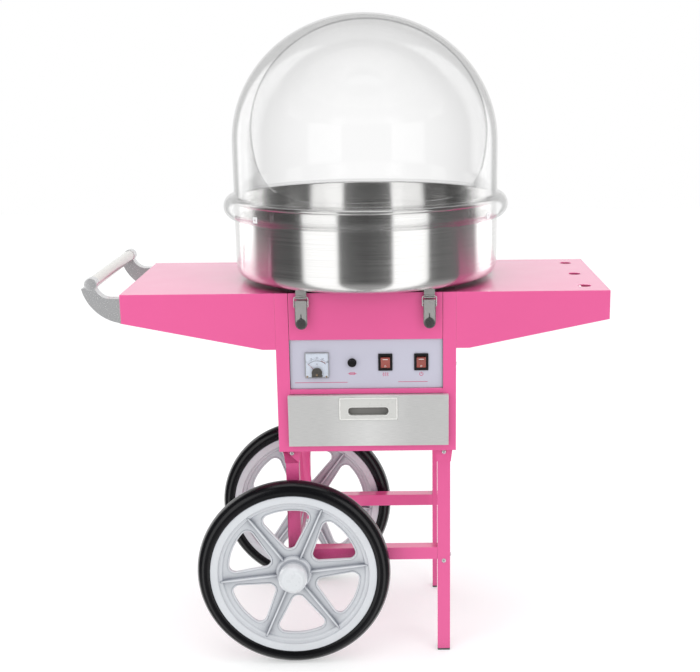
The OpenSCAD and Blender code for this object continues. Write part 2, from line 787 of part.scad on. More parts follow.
module bowl_seat_ring() {
    color("dimgray") at_bowl() difference() {
        translate([0, 0, table_z]) cylinder(r = 92, h = bowl_z - table_z);
        translate([0, 0, table_z - 1]) cylinder(r = 70, h = bowl_z - table_z + 2);
    }
}

module bowl() {
    bead_z = rim_z - bead_r;
    color("lightgray") at_bowl() rotate_extrude($fn = 240) {
        polygon(concat(
            [[bowl_hole_r, bowl_z + bowl_lip_h], [bowl_hole_r, bowl_z]],
            arc(bowl_r - bowl_corner, bowl_z + bowl_corner, bowl_corner, bowl_corner, -90, 0, 10),
            [[bowl_r, bead_z], [bowl_r - bowl_t, bead_z]],
            arc(bowl_r - bowl_corner, bowl_z + bowl_corner, bowl_corner - bowl_t, bowl_corner - bowl_t, 0, -90, 10),
            [[bowl_hole_r + bowl_t, bowl_z + bowl_t], [bowl_hole_r + bowl_t, bowl_z + bowl_lip_h]]));
        translate([bowl_r + bead_r - 2, bead_z]) circle(r = bead_r, $fn = 32);
    }
}

// ---- spinning head ----

module spinner_cup() {
    slots = 30;
    color("silver") at_bowl() difference() {
        union() {
            translate([0, 0, head_z]) cylinder(r = head_r, h = 2.5);
            translate([0, 0, head_z - 14]) cylinder(r = 13, h = 30);
            difference() {
                translate([0, 0, head_z + 2]) cylinder(r = head_r - 3, h = head_h - 4);
                translate([0, 0, head_z + 1]) cylinder(r = head_r - 4.5, h = head_h);
            }
            translate([0, 0, head_z]) difference() {
                cylinder(r = head_r + 3, h = 5);
                translate([0, 0, -1]) cylinder(r = head_r - 1, h = 7);
            }
        }
        for (i = [0 : slots - 1]) rotate([0, 0, i * 360 / slots])
            block([head_r - 8, -1, head_z + 8], [head_r, 1, head_z + head_h - 6]);
        translate([0, 0, head_z - 20]) cylinder(r = shaft_r, h = 50);
    }
}

module spinner_lid() {
    z = head_z + head_h - 2;
    color("silver") at_bowl() rotate_extrude() polygon([[fill_r, z + 10], [fill_r, z + 2],
        [fill_r + 3, z], [head_r + 3, z], [head_r + 3, z + 2], [fill_r + 8, z + 3], [fill_r + 2, z + 10]]);
}

module heating_element() {
    color("saddlebrown") at_bowl() for (z = [head_z + 8, head_z + 14, head_z + 20])
        translate([0, 0, z]) rotate_extrude() translate([head_r - 8, 0]) circle(r = 1.8, $fn = 24);
}

module spinner_shaft() {
    color("darkgray") at_bowl() {
        translate([0, 0, motor_z + 6]) cylinder(r = shaft_r, h = head_z + 20 - motor_z - 6);
        for (z = [ring_z, ring_z + 16]) translate([0, 0, z]) cylinder(r = 17, h = 10);
        translate([0, 0, ring_z - 4]) cylinder(r = 13, h = 34);
        translate([0, 0, head_z + 20]) cylinder(r = 9, h = 6, $fn = 6);
    }
}

module motor_body() {
    color("slategray") at_bowl() difference() {
        union() {
            translate([0, 0, motor_z]) cylinder(r = motor_r, h = motor_h);
            translate([0, 0, motor_z - 6]) cylinder(r = 14, h = 7);
            for (i = [0 : 15]) rotate([0, 0, i * 22.5])
                block([motor_r - 1, -1, motor_z + 12], [motor_r + 3, 1, motor_z + motor_h - 12]);
        }
        translate([0, 0, motor_z + 4]) cylinder(r = shaft_r + run, h = motor_h);
    }
}

standoff_xy = 52;

module motor_bracket() {
    color("silver") at_bowl() {
        difference() {
            translate([-standoff_xy - 8, -standoff_xy - 8, bracket_plate_z])
                cube([2 * standoff_xy + 16, 2 * standoff_xy + 16, 3]);
            translate([0, 0, bracket_plate_z - 1]) cylinder(r = 10, h = 5);
        }
        for (x = [-1, 1], y = [-1, 1])
            translate([x * standoff_xy, y * standoff_xy, bracket_plate_z + 3])
                cylinder(r = 5, h = plate_z - bracket_plate_z - 3);
    }
}

// Insulating block beside the slip rings, with a carbon brush for each ring
module brush_holder() {
    color("saddlebrown") at_bowl() {
        block([24, -9, bracket_plate_z + 3], [36, 9, ring_z + 30]);
        for (z = [ring_z + 2, ring_z + 18]) block([17.4, -3, z], [24 + eps, 3, z + 6]);
    }
}

// ---- dome ----

// Side view of the space that is cut away for the opening, Y to the right and Z up
module mouth_outline() {
    c = [mouth_y, mouth_z + mouth_r];
    t = [c[0] + mouth_r * cos(mouth_lean), c[1] - mouth_r * sin(mouth_lean)];
    up = dome_top_z + 20 - t[1];
    far = -2 * bowl_r;
    polygon(concat([[far, mouth_z]], arc(c[0], c[1], mouth_r, mouth_r, -90, -mouth_lean, 14),
        [[t[0] + up * tan(mouth_lean), t[1] + up], [far, t[1] + up]]));
}

module dome_shell() {
    o = dome_r;
    i = dome_r - dome_t;
    c = flange_in_r;
    rotate_extrude($fn = 240) polygon(concat(
        arc(c, flange_z, flange_out, flange_half_h, -86, 90, 18),
        [[o, flange_z + flange_half_h + 3]],
        arc(0, dome_cap_z, o, cap_h, 0, 90, 30),
        arc(0, dome_cap_z, i, cap_h - dome_t, 90, 0, 30),
        [[i, flange_z + flange_seat + 0.5]],
        arc(c, flange_z, flange_out - dome_t, flange_seat, 90, -80, 18)));
}

module dome() {
    color([0.85, 0.9, 0.95, 0.3]) at_bowl() rotate([0, 0, dome_turn]) difference() {
        dome_shell();
        translate([-bowl_d, 0, 0]) rotate([90, 0, 90]) linear_extrude(2 * bowl_d) mouth_outline();
    }
}

// Small square plates with a screw, on the flange to each side of the opening
module dome_clips() {
    color("whitesmoke") at_bowl() for (a = [-50, 50])
        rotate([0, 0, dome_turn + a]) translate([0, -flange_in_r - flange_out + 1.5, flange_z - 7]) difference() {
            block([-5.5, -3, -5.5], [5.5, -1.6, 5.5]);
            rod_y(2, 0, 0, -4, 0);
        }
}

// ---- drawer ----

module drawer_box() {
    t = wall;
    y0 = front_y - drawer_gap;
    z0 = drawer_z + box_lift;
    color("silver") at_cart() difference() {
        block([-drawer_box_half, y0, z0], [drawer_box_half, y0 + drawer_depth, z0 + drawer_box_h]);
        block([-drawer_box_half + t, y0 + t, z0 + t],
            [drawer_box_half - t, y0 + drawer_depth - t, z0 + drawer_box_h + 1]);
    }
}

// Folded stainless front, with a round hole behind the pull's recess
module drawer_front() {
    y1 = front_y - drawer_gap;
    y0 = y1 - drawer_front_t;
    x = drawer_x;
    z = drawer_z + drawer_front_h / 2;
    color("lightgray") at_cart() difference() {
        face_plate(drawer_front_w, drawer_front_h, 1, x, z, y0, y1);
        face_plate(drawer_front_w - 2 * wall, drawer_front_h - 2 * wall, 0.5, x, z, y0 + wall, y1 + 1);
        face_plate(slot_w + 4, slot_h + 4, 9, x, drawer_z + 69, y0 - 1, y0 + 2);
    }
}

module drawer_pull() {
    y0 = front_y - drawer_gap - drawer_front_t;
    z = drawer_z + 74;
    slot_z = drawer_z + 69;
    color("gainsboro") at_cart() difference() {
        union() {
            face_plate(pull_w, pull_h, 2, drawer_x, z, y0 - 1.4, y0);
            face_plate(slot_w + 3.6, slot_h + 3.6, 9, drawer_x, slot_z, y0 - 1, y0 + 8.4);
        }
        face_plate(slot_w, slot_h, 8.4, drawer_x, slot_z, y0 - 3, y0 + 7);
    }
}

// ---- the assembly ----

left_side_panel();
right_side_panel();
back_panel();
floor_pan();
machine_shelf();
left_shelf();
right_shelf();
handle_bracket_front();
handle_bracket_rear();
handle_tube();
leg_front_left();
leg_rear_left();
leg_front_right();
leg_rear_right();
crossbar_front();
crossbar_rear();
axle();
axle_hardware();
foot_caps();
cart_screws();
front_wheel_rim();
front_wheel_tyre();
front_hub_cap();
rear_wheel_rim();
rear_wheel_tyre();
rear_hub_cap();
machine_housing();
machine_top_plate();
control_panel();
voltmeter_case();
voltmeter_dial();
voltmeter_needle();
voltmeter_cover();
fuse_holder();
fuse_cap();
heat_switch_body();
heat_switch_rocker();
power_switch_body();
power_switch_rocker();
latch_bases();
left_latch_lever();
left_latch_bail();
right_latch_lever();
right_latch_bail();
bowl();
bowl_hooks();
bowl_seat_ring();
spinner_cup();
spinner_lid();
heating_element();
spinner_shaft();
motor_body();
motor_bracket();
brush_holder();
power_inlet();
dome();
dome_clips();
drawer_box();
drawer_front();
drawer_pull();
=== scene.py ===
"""Cotton candy machine on its cart: looks, stage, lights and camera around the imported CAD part."""
import json
import math

import bmesh
import bpy
from mathutils import Matrix, Vector

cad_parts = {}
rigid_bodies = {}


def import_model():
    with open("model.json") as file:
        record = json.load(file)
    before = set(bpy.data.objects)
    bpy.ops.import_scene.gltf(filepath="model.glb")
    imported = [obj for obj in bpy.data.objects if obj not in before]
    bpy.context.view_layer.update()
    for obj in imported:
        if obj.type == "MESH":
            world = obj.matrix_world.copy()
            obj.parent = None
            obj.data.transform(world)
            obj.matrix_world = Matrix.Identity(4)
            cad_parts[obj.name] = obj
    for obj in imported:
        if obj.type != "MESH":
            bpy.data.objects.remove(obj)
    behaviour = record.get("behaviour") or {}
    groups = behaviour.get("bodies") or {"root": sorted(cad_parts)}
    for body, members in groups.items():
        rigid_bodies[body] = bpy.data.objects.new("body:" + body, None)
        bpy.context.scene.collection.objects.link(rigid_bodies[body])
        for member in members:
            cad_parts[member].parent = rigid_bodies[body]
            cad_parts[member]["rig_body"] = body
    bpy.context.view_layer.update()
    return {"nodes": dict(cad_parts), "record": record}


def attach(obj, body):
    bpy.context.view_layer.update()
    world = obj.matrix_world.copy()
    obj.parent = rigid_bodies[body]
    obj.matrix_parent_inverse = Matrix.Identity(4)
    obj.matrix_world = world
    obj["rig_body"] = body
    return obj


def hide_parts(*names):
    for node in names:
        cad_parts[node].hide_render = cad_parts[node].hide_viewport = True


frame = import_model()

scene = bpy.context.scene
NODES = frame["nodes"]
SLOT_OF = {part["node"]: part["material_slot"] for part in frame["record"]["subparts"]}
CART = Vector((0.035, -0.014, 0.0))  # the cabinet's middle, in metres
MM = 0.001


def at(x, y, z):
    """A place in millimetres about the cabinet's middle, as a matrix that also scales to metres."""
    return Matrix.Translation(CART + Vector((x, y, z)) / 1000) @ Matrix.Scale(MM, 4)


def turn(degrees, axis):
    return Matrix.Rotation(math.radians(degrees), 4, axis)


def srgb(red, green, blue):
    """A colour as 8-bit screen values, as the linear colour that a shader takes."""
    def linear(value):
        value /= 255
        return value / 12.92 if value <= 0.04045 else ((value + 0.055) / 1.055) ** 2.4
    return (linear(red), linear(green), linear(blue), 1.0)


# ---- materials ----

class Paint:
    """A Principled material, with shortcuts for the nodes that give it grain, painted shade in its hollows
    and relief.
    """

    def __init__(self, name, **sockets):
        self.mat = bpy.data.materials.new(name)
        self.mat.use_nodes = True
        self.tree = self.mat.node_tree
        self.shader = self.tree.nodes["Principled BSDF"]
        self.place = self.tree.nodes.new("ShaderNodeTexCoord").outputs["Object"]
        for key, value in sockets.items():
            self.shader.inputs[key.replace("_", " ")].default_value = value

    def link(self, source, target):
        self.tree.links.new(source, target)

    def stretched(self, x, y, z):
        """The object's own coordinates, scaled along each axis."""
        node = self.tree.nodes.new("ShaderNodeMapping")
        node.inputs["Scale"].default_value = (x, y, z)
        self.link(self.place, node.inputs["Vector"])
        return node.outputs["Vector"]

    def noise(self, scale, detail=3.0, roughness=0.5, where=None):
        node = self.tree.nodes.new("ShaderNodeTexNoise")
        node.inputs["Scale"].default_value = scale
        node.inputs["Detail"].default_value = detail
        node.inputs["Roughness"].default_value = roughness
        self.link(where or self.place, node.inputs["Vector"])
        return node.outputs["Fac"]

    def level(self, source, from_lo, from_hi, to_lo, to_hi):
        node = self.tree.nodes.new("ShaderNodeMapRange")
        for key, value in zip(("From Min", "From Max", "To Min", "To Max"), (from_lo, from_hi, to_lo, to_hi)):
            node.inputs[key].default_value = value
        self.link(source, node.inputs["Value"])
        return node.outputs["Result"]

    def math(self, operation, a, b):
        node = self.tree.nodes.new("ShaderNodeMath")
        node.operation = operation
        for socket, value in zip(node.inputs, (a, b)):
            if isinstance(value, (int, float)):
                socket.default_value = value
            else:
                self.link(value, socket)
        return node.outputs["Value"]

    def tint(self, source, first, second, lo=0.35, hi=0.65):
        """The base colour, from first to second as source goes from lo to hi."""
        node = self.tree.nodes.new("ShaderNodeValToRGB")
        node.color_ramp.elements[0].position = lo
        node.color_ramp.elements[0].color = first
        node.color_ramp.elements[1].position = hi
        node.color_ramp.elements[1].color = second
        self.link(source, node.inputs["Fac"])
        self.link(node.outputs["Color"], self.shader.inputs["Base Color"])
        return node.outputs["Color"]

    def shaded(self, shade, hollow, reach, lo, hi):
        """The base colour, turning to the colour hollow where other surfaces stand within reach metres:
        painted shade in corners, recesses and under things.
        """
        near = self.tree.nodes.new("ShaderNodeAmbientOcclusion")
        near.samples = 6
        near.inputs["Distance"].default_value = reach
        mix = self.tree.nodes.new("ShaderNodeMix")
        mix.data_type = "RGBA"
        self.link(self.level(near.outputs["AO"], lo, hi, 0, 1), mix.inputs["Factor"])
        mix.inputs["A"].default_value = hollow
        self.link(shade, mix.inputs["B"])
        self.link(mix.outputs["Result"], self.shader.inputs["Base Color"])

    def rough(self, source, lo, hi):
        self.link(self.level(source, 0.3, 0.7, lo, hi), self.shader.inputs["Roughness"])

    def relief(self, source, depth, strength=1.0):
        """A bump of the given depth in metres."""
        node = self.tree.nodes.new("ShaderNodeBump")
        node.inputs["Strength"].default_value = strength
        node.inputs["Distance"].default_value = depth
        self.link(source, node.inputs["Height"])
        self.link(node.outputs["Normal"], self.shader.inputs["Normal"])
        return self


def darker(colour, share):
    return (colour[0] * share, colour[1] * share, colour[2] * share, 1.0)


def coat(name, colour, rough, grain=420, depth=0.000006, vary=0.965, hollow=None, **sockets):
    """Paint or powder coat: faint random change of tone, orange peel and, with hollow, painted shade in its
    hollows and corners.
    """
    paint = Paint(name, **sockets)
    shade = paint.tint(paint.noise(4, 2), darker(colour, vary), colour)
    if hollow:
        paint.shaded(shade, hollow, 0.08, 0.12, 0.52)
    paint.rough(paint.noise(12, 2), rough * 0.94, rough * 1.06)
    return paint.relief(paint.noise(grain, 2), depth)


def moulded(name, colour, rough, grain=900, depth=0.00001, vary=0.96, hollow=None, **sockets):
    """Moulded plastic or rubber: fine grain, slight flow marks and, with hollow, painted shade in its
    hollows.
    """
    paint = Paint(name, **sockets)
    shade = paint.tint(paint.noise(14, 4, 0.6), darker(colour, vary), colour)
    if hollow:
        paint.shaded(shade, hollow, 0.022, 0.35, 0.95)
    paint.rough(paint.noise(120, 4), rough * 0.85, rough * 1.15)
    return paint.relief(paint.noise(grain, 2), depth)


def metal(name, colour, rough, stretch=(1, 1, 1), grain=300, depth=0.00001, bright=1.0, **sockets):
    """Bare or plated metal, its grain drawn out where stretch is small. A lower bright scatters more."""
    paint = Paint(name, Metallic=bright, **sockets)
    streaks = paint.noise(grain, 3, 0.6, paint.stretched(*stretch))
    paint.tint(streaks, darker(colour, 0.86), colour)
    paint.rough(streaks, rough * 0.8, rough * 1.2)
    return paint.relief(streaks, depth)


def turned(name, colour, rough, bands, depth, anisotropy=0.0):
    """Metal finished on a lathe: fine rings round the bowl's upright axis."""
    paint = Paint(name, Metallic=1.0, Anisotropic=anisotropy, Anisotropic_Rotation=0.25)
    shift = paint.tree.nodes.new("ShaderNodeMapping")
    shift.inputs["Location"].default_value = (-CART.x, 0.0, 0.0)
    paint.link(paint.place, shift.inputs["Vector"])
    split = paint.tree.nodes.new("ShaderNodeSeparateXYZ")
    paint.link(shift.outputs["Vector"], split.inputs["Vector"])
    around = paint.math("ARCTAN2", split.outputs["Y"], split.outputs["X"])
    joined = paint.tree.nodes.new("ShaderNodeCombineXYZ")
    paint.link(around, joined.inputs["X"])
    x2 = paint.math("MULTIPLY", split.outputs["X"], split.outputs["X"])
    y2 = paint.math("MULTIPLY", split.outputs["Y"], split.outputs["Y"])
    paint.link(paint.math("SQRT", paint.math("ADD", x2, y2), 0), joined.inputs["Y"])
    paint.link(split.outputs["Z"], joined.inputs["Z"])
    fine = paint.tree.nodes.new("ShaderNodeMapping")
    fine.inputs["Scale"].default_value = (1.2, bands, bands)
    paint.link(joined.outputs["Vector"], fine.inputs["Vector"])
    lines = paint.noise(1.0, 4, 0.65, fine.outputs["Vector"])
    paint.tint(lines, darker(colour, 0.86), colour)
    paint.rough(lines, rough * 0.75, rough * 1.25)
    paint.relief(lines, depth)
    if anisotropy:
        tangent = paint.tree.nodes.new("ShaderNodeTangent")
        tangent.direction_type = "RADIAL"
        tangent.axis = "Z"
        paint.link(tangent.outputs["Tangent"], paint.shader.inputs["Tangent"])
    return paint


def clear(name, face_tint, edge_tint, floor_share, rough):
    """Thin clear plastic: it shows what is behind it, darker and glossier where it is seen edge-on."""
    paint = Paint(name, Metallic=0.0, Roughness=rough)
    gloss = paint.tree.nodes.new("ShaderNodeBsdfGlossy")
    gloss.inputs["Roughness"].default_value = rough
    gloss.inputs["Color"].default_value = (1, 1, 1, 1)
    through = paint.tree.nodes.new("ShaderNodeBsdfTransparent")
    facing = paint.tree.nodes.new("ShaderNodeLayerWeight")
    facing.inputs["Blend"].default_value = 0.5
    shade = paint.level(paint.math("POWER", facing.outputs["Facing"], 1.1), 0, 1, face_tint, edge_tint)
    grey = paint.tree.nodes.new("ShaderNodeCombineColor")
    for channel in ("Red", "Green", "Blue"):
        paint.link(shade, grey.inputs[channel])
    paint.link(grey.outputs["Color"], through.inputs["Color"])
    edge = paint.math("POWER", facing.outputs["Facing"], 2.9)
    smudge = paint.level(paint.noise(9, 4, 0.6), 0.3, 0.7, floor_share * 0.9, floor_share * 1.1)
    share = paint.math("ADD", paint.math("MULTIPLY", edge, 0.55), smudge)
    mixed = paint.tree.nodes.new("ShaderNodeMixShader")
    paint.link(share, mixed.inputs["Fac"])
    paint.link(through.outputs["BSDF"], mixed.inputs[1])
    paint.link(gloss.outputs["BSDF"], mixed.inputs[2])
    paint.link(mixed.outputs["Shader"], paint.tree.nodes["Material Output"].inputs["Surface"])
    paint.tree.nodes.remove(paint.shader)
    return paint


def lit_middle(paint, middle, half, metallic):
    """Sheet that is less mirror-like at its middle. middle is an x and half is half the width, in metres."""
    split = paint.tree.nodes.new("ShaderNodeSeparateXYZ")
    paint.link(paint.place, split.inputs["Vector"])
    away = paint.math("ABSOLUTE", paint.math("SUBTRACT", split.outputs["X"], middle), 0)
    paint.link(paint.level(away, 0, half, *metallic), paint.shader.inputs["Metallic"])
    return paint


PINK = (0.80, 0.105, 0.32, 1.0)
# The hollow colours of pink_coat, wheel_plastic and hub_cap_plastic are painted shade, laid where ambient
# occlusion finds other surfaces near.
MATERIALS = {
    "pink_coat": coat("pink_coat", PINK, 0.34, hollow=(0.30, 0.02, 0.09, 1), Coat_Weight=1.0,
                      Coat_Roughness=0.09, Coat_IOR=1.75),
    "bracket_alloy": metal("bracket_alloy", (0.70, 0.70, 0.71, 1), 0.24, grain=500, bright=0.6),
    "cream_coat": coat("cream_coat", srgb(208, 206, 201), 0.22, Coat_Weight=0.7, Coat_Roughness=0.05),
    "zinc_steel": metal("zinc_steel", (0.66, 0.66, 0.69, 1), 0.32, grain=420, bright=0.8),
    "chrome_screws": metal("chrome_screws", (0.84, 0.84, 0.86, 1), 0.16, grain=600, bright=0.7),
    "grey_rubber": moulded("grey_rubber", srgb(74, 74, 76), 0.62, depth=0.00004),
    "wheel_plastic": moulded("wheel_plastic", srgb(208, 211, 215), 0.36, hollow=srgb(120, 124, 136),
                             Coat_Weight=0.3, Coat_Roughness=0.12),
    "hub_cap_plastic": moulded("hub_cap_plastic", srgb(212, 215, 218), 0.30, vary=0.985,
                               hollow=srgb(150, 155, 166), Coat_Weight=0.3, Coat_Roughness=0.1),
    "tyre_black": moulded("tyre_black", (0.0042, 0.0042, 0.0055, 1), 0.22, depth=0.000004, vary=0.9,
                          Specular_IOR_Level=0.38),
    "panel_silver": coat("panel_silver", srgb(190, 189, 204), 0.38, grain=1400, depth=0.00001),
    "meter_dark": moulded("meter_dark", srgb(88, 84, 80), 0.45),
    "dial_white": moulded("dial_white", srgb(226, 233, 246), 0.40, vary=0.985),
    "meter_rim": moulded("meter_rim", srgb(176, 178, 180), 0.3),
    "needle_red": coat("needle_red", srgb(170, 30, 40), 0.35),
    "meter_clear": clear("meter_clear", 0.985, 0.80, 0.03, 0.05),
    "black_plastic": moulded("black_plastic", (0.012, 0.011, 0.012, 1), 0.32),
    "rocker_red": moulded("rocker_red", srgb(158, 84, 76), 0.22, vary=0.82, Coat_Weight=0.6),
    "latch_steel": metal("latch_steel", (0.86, 0.85, 0.83, 1), 0.20, (6, 1, 1), grain=200, bright=0.68),
    # latch_dark colours the catch; on the latch's edge outline and keyhole it is painted shade.
    "latch_dark": metal("latch_dark", (0.10, 0.10, 0.10, 1), 0.30, grain=500, bright=0.5),
    "latch_wire": metal("latch_wire", (0.78, 0.77, 0.76, 1), 0.16, grain=500, bright=0.8),
    "bowl_stainless": turned("bowl_stainless", (0.80, 0.795, 0.785, 1), 0.20, 900, 0.0000008, 1.0),
    "head_aluminium": turned("head_aluminium", (0.80, 0.80, 0.81, 1), 0.22, 700, 0.000004, 0.3),
    "element_wire": metal("element_wire", (0.36, 0.24, 0.17, 1), 0.42, grain=700),
    "motor_grey": coat("motor_grey", srgb(98, 104, 112), 0.45, grain=500),
    "brush_brown": moulded("brush_brown", srgb(98, 56, 36), 0.50),
    "dome_clear": clear("dome_clear", 0.995, 0.76, 0.02, 0.012),
    "dome_cut": clear("dome_cut", 0.84, 0.60, 0.10, 0.05),
    "clip_white": moulded("clip_white", srgb(236, 236, 238), 0.25),
    "drawer_steel": metal("drawer_steel", (0.60, 0.60, 0.59, 1), 0.36, (1, 1, 20), grain=60),
    "drawer_stainless": lit_middle(metal("drawer_stainless", (0.80, 0.80, 0.79, 1), 0.36, (0.6, 8, 30),
                                         grain=110, depth=0.000002), 0.038, 0.085, (0.30, 0.52)),
    "pull_grey": moulded("pull_grey", srgb(200, 200, 197), 0.30, Coat_Weight=0.3),
    # The pull's grey, darkened into painted shade for its recess and lightened into a painted highlight for
    # its border and lip.
    "pull_shade": moulded("pull_shade", srgb(120, 119, 116), 0.35, vary=0.75),
    "pull_highlight": moulded("pull_highlight", srgb(224, 224, 221), 0.28, Coat_Weight=0.4),
    "ink_pink": coat("ink_pink", srgb(196, 40, 100), 0.45),
    "ink_dark": coat("ink_dark", srgb(52, 56, 74), 0.5),
    "ink_white": coat("ink_white", srgb(235, 232, 228), 0.4),
    "brass": metal("brass", (0.62, 0.46, 0.30, 1), 0.3, grain=500),
}


# ---- shapes, in millimetres ----

def lathe(profile, steps=192, closed=True):
    """A profile of (radius, height) turned round Z."""
    bm = bmesh.new()
    turns = [2 * math.pi * k / steps for k in range(steps)]
    rings = []
    for r, h in profile:
        if r < 1e-6:
            rings.append([bm.verts.new((0, 0, h))])
        else:
            rings.append([bm.verts.new((r * math.cos(t), r * math.sin(t), h)) for t in turns])
    for i in range(len(rings) if closed else len(rings) - 1):
        a = rings[i]
        b = rings[(i + 1) % len(rings)]
        for k in range(steps):
            n = (k + 1) % steps
            corners = list(dict.fromkeys([a[k % len(a)], a[n % len(a)], b[n % len(b)], b[k % len(b)]]))
            if len(corners) > 2:
                bm.faces.new(corners)
    bmesh.ops.recalc_face_normals(bm, faces=bm.faces)
    return bm


def fillet(points, radius, steps=4, closed=True):
    """The same line with every corner rounded. radius is one number, or one for each corner."""
    made = []
    count = len(points)
    for i, point in enumerate(points):
        r = radius[i] if isinstance(radius, (list, tuple)) else radius
        here = Vector(point)
        if r <= 0 or (not closed and i in (0, count - 1)):
            made.append(here)
            continue
        back = Vector(points[i - 1]) - here
        ahead = Vector(points[(i + 1) % count]) - here
        a = here + back.normalized() * min(r, back.length * 0.45)
        b = here + ahead.normalized() * min(r, ahead.length * 0.45)
        for k in range(steps + 1):
            t = k / steps
            made.append(a * (1 - t) ** 2 + here * 2 * t * (1 - t) + b * t ** 2)
    return made


def arc(cx, cy, rx, ry, a0, a1, steps):
    """Points on an ellipse's arc, in degrees."""
    turns = [math.radians(a0 + (a1 - a0) * k / steps) for k in range(steps + 1)]
    return [(cx + rx * math.cos(t), cy + ry * math.sin(t)) for t in turns]


def block(lo, hi, edge=0.0, steps=2):
    bm = bmesh.new()
    bmesh.ops.create_cube(bm, size=1)
    lo = Vector(lo)
    hi = Vector(hi)
    bm.transform(Matrix.Translation((lo + hi) / 2) @ Matrix.Diagonal((*(hi - lo), 1)))
    if edge:
        bmesh.ops.bevel(bm, geom=bm.edges[:], offset=edge, segments=steps, profile=0.5, affect="EDGES")
    return bm


def from_curve(curve):
    """A curve's surface as a bmesh."""
    holder = bpy.data.objects.new("line", curve)
    mesh = bpy.data.meshes.new_from_object(holder)
    bm = bmesh.new()
    bm.from_mesh(mesh)
    bpy.data.objects.remove(holder)
    bpy.data.curves.remove(curve)
    bpy.data.meshes.remove(mesh)
    bmesh.ops.remove_doubles(bm, verts=bm.verts, dist=0.0005)
    return bm


def spline(curve, points, closed):
    line = curve.splines.new("POLY")
    line.points.add(len(points) - 1)
    for target, point in zip(line.points, points):
        target.co = (point[0], point[1], point[2] if len(point) > 2 else 0.0, 1.0)
    line.use_cyclic_u = closed


def slab(outlines, half, edge=0.0, steps=2):
    """A flat plate about Z = 0 with round edges. The first outline is anticlockwise, holes clockwise."""
    curve = bpy.data.curves.new("slab", "CURVE")
    curve.dimensions = "2D"
    curve.fill_mode = "BOTH"
    curve.extrude = half - edge
    curve.bevel_depth = edge
    curve.bevel_resolution = steps
    curve.offset = -edge
    for points in outlines:
        spline(curve, points, True)
    return from_curve(curve)


def tube(points, radius, closed=False, steps=4):
    """A round wire along the points."""
    curve = bpy.data.curves.new("tube", "CURVE")
    curve.dimensions = "3D"
    curve.bevel_depth = radius
    curve.bevel_resolution = steps
    curve.use_fill_caps = True
    spline(curve, points, closed)
    return from_curve(curve)


def words(text, size, thick=0.05):
    """A number or sign, upright in the XZ plane and centred."""
    curve = bpy.data.curves.new("words", "FONT")
    curve.body = text
    curve.size = size
    curve.extrude = thick
    curve.align_x = "CENTER"
    curve.align_y = "CENTER"
    bm = from_curve(curve)
    bm.transform(turn(90, "X"))
    return bm


def flat_loop(points):
    """An outline of (x, z), as points in the XZ plane."""
    return [(p[0], 0.0, p[1]) for p in points]


def box_outline(half_x, half_y):
    return [(-half_x, -half_y), (half_x, -half_y), (half_x, half_y), (-half_x, half_y)]


def join(*parts):
    """One bmesh from several. Each is a bmesh, or a bmesh and where it goes."""
    out = bmesh.new()
    for part in parts:
        bm, where = part if isinstance(part, tuple) else (part, Matrix())
        bm.transform(where)
        mesh = bpy.data.meshes.new("part")
        bm.to_mesh(mesh)
        bm.free()
        out.from_mesh(mesh)
        bpy.data.meshes.remove(mesh)
    return out


def cut(bm, tool):
    """bm with tool taken away."""
    objects = []
    for source in (bm, tool):
        mesh = bpy.data.meshes.new("solid")
        source.to_mesh(mesh)
        source.free()
        objects.append(bpy.data.objects.new("solid", mesh))
        scene.collection.objects.link(objects[-1])
    change = objects[0].modifiers.new("cut", "BOOLEAN")
    change.operation = "DIFFERENCE"
    change.solver = "EXACT"
    change.object = objects[1]
    result = bpy.data.meshes.new_from_object(objects[0].evaluated_get(bpy.context.evaluated_depsgraph_get()))
    out = bmesh.new()
    out.from_mesh(result)
    bpy.data.meshes.remove(result)
    for item in objects:
        mesh = item.data
        bpy.data.objects.remove(item)
        bpy.data.meshes.remove(mesh)
    return out


def piece(name, bm, where, nodes=(), body=None, look=None, crease=32, level=False):
    """A piece on its CAD body. It stands for the CAD nodes named, and takes the slot of the first one."""
    nodes = [nodes] if isinstance(nodes, str) else list(nodes)
    bm.transform(where)
    mesh = bpy.data.meshes.new(name)
    bm.to_mesh(mesh)
    bm.free()
    mesh.shade_smooth()
    mesh.set_sharp_from_angle(angle=math.radians(crease))
    obj = bpy.data.objects.new(name, mesh)
    scene.collection.objects.link(obj)
    if level:
        even = obj.modifiers.new("even", "WEIGHTED_NORMAL")
        even.keep_sharp = True
    slot = look or SLOT_OF[nodes[0]]
    mesh.materials.append(MATERIALS[slot].mat)
    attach(obj, body or NODES[nodes[0]]["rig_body"])
    if nodes:
        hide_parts(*nodes)
    return obj


def bevel(bm, lines, offset, segments):
    bmesh.ops.bevel(bm, geom=lines, offset=offset, segments=segments, profile=0.5, affect="EDGES",
                    clamp_overlap=True)


def soften(node, bend=0.4, edge=0.3, crease=32):
    """The CAD node's own shape with its folds rounded to bend millimetres and its cut edges to edge."""
    bm = bmesh.new()
    bm.from_mesh(NODES[node].data)
    bm.transform(Matrix.Scale(1000, 4))
    bmesh.ops.remove_doubles(bm, verts=bm.verts, dist=0.002)
    bmesh.ops.dissolve_limit(bm, angle_limit=math.radians(0.6), verts=bm.verts, edges=bm.edges)
    folds = []
    for line in bm.edges:
        if len(line.link_faces) != 2 or not line.is_convex or line.calc_face_angle(0) < math.radians(20):
            continue
        if min(face.calc_area() for face in line.link_faces) / line.calc_length() > 4:
            folds.append(line)
    if folds and bend > edge:
        bevel(bm, folds, bend, 3)
    steep = math.radians(38)
    sharp = [line for line in bm.edges if len(line.link_faces) == 2 and line.calc_face_angle(0) > steep]
    if sharp and edge:
        bevel(bm, sharp, edge, 2)
    return piece(node + "_shape", bm, Matrix.Scale(MM, 4), node, crease=crease, level=True)


# ---- sheet metal and tubes ----

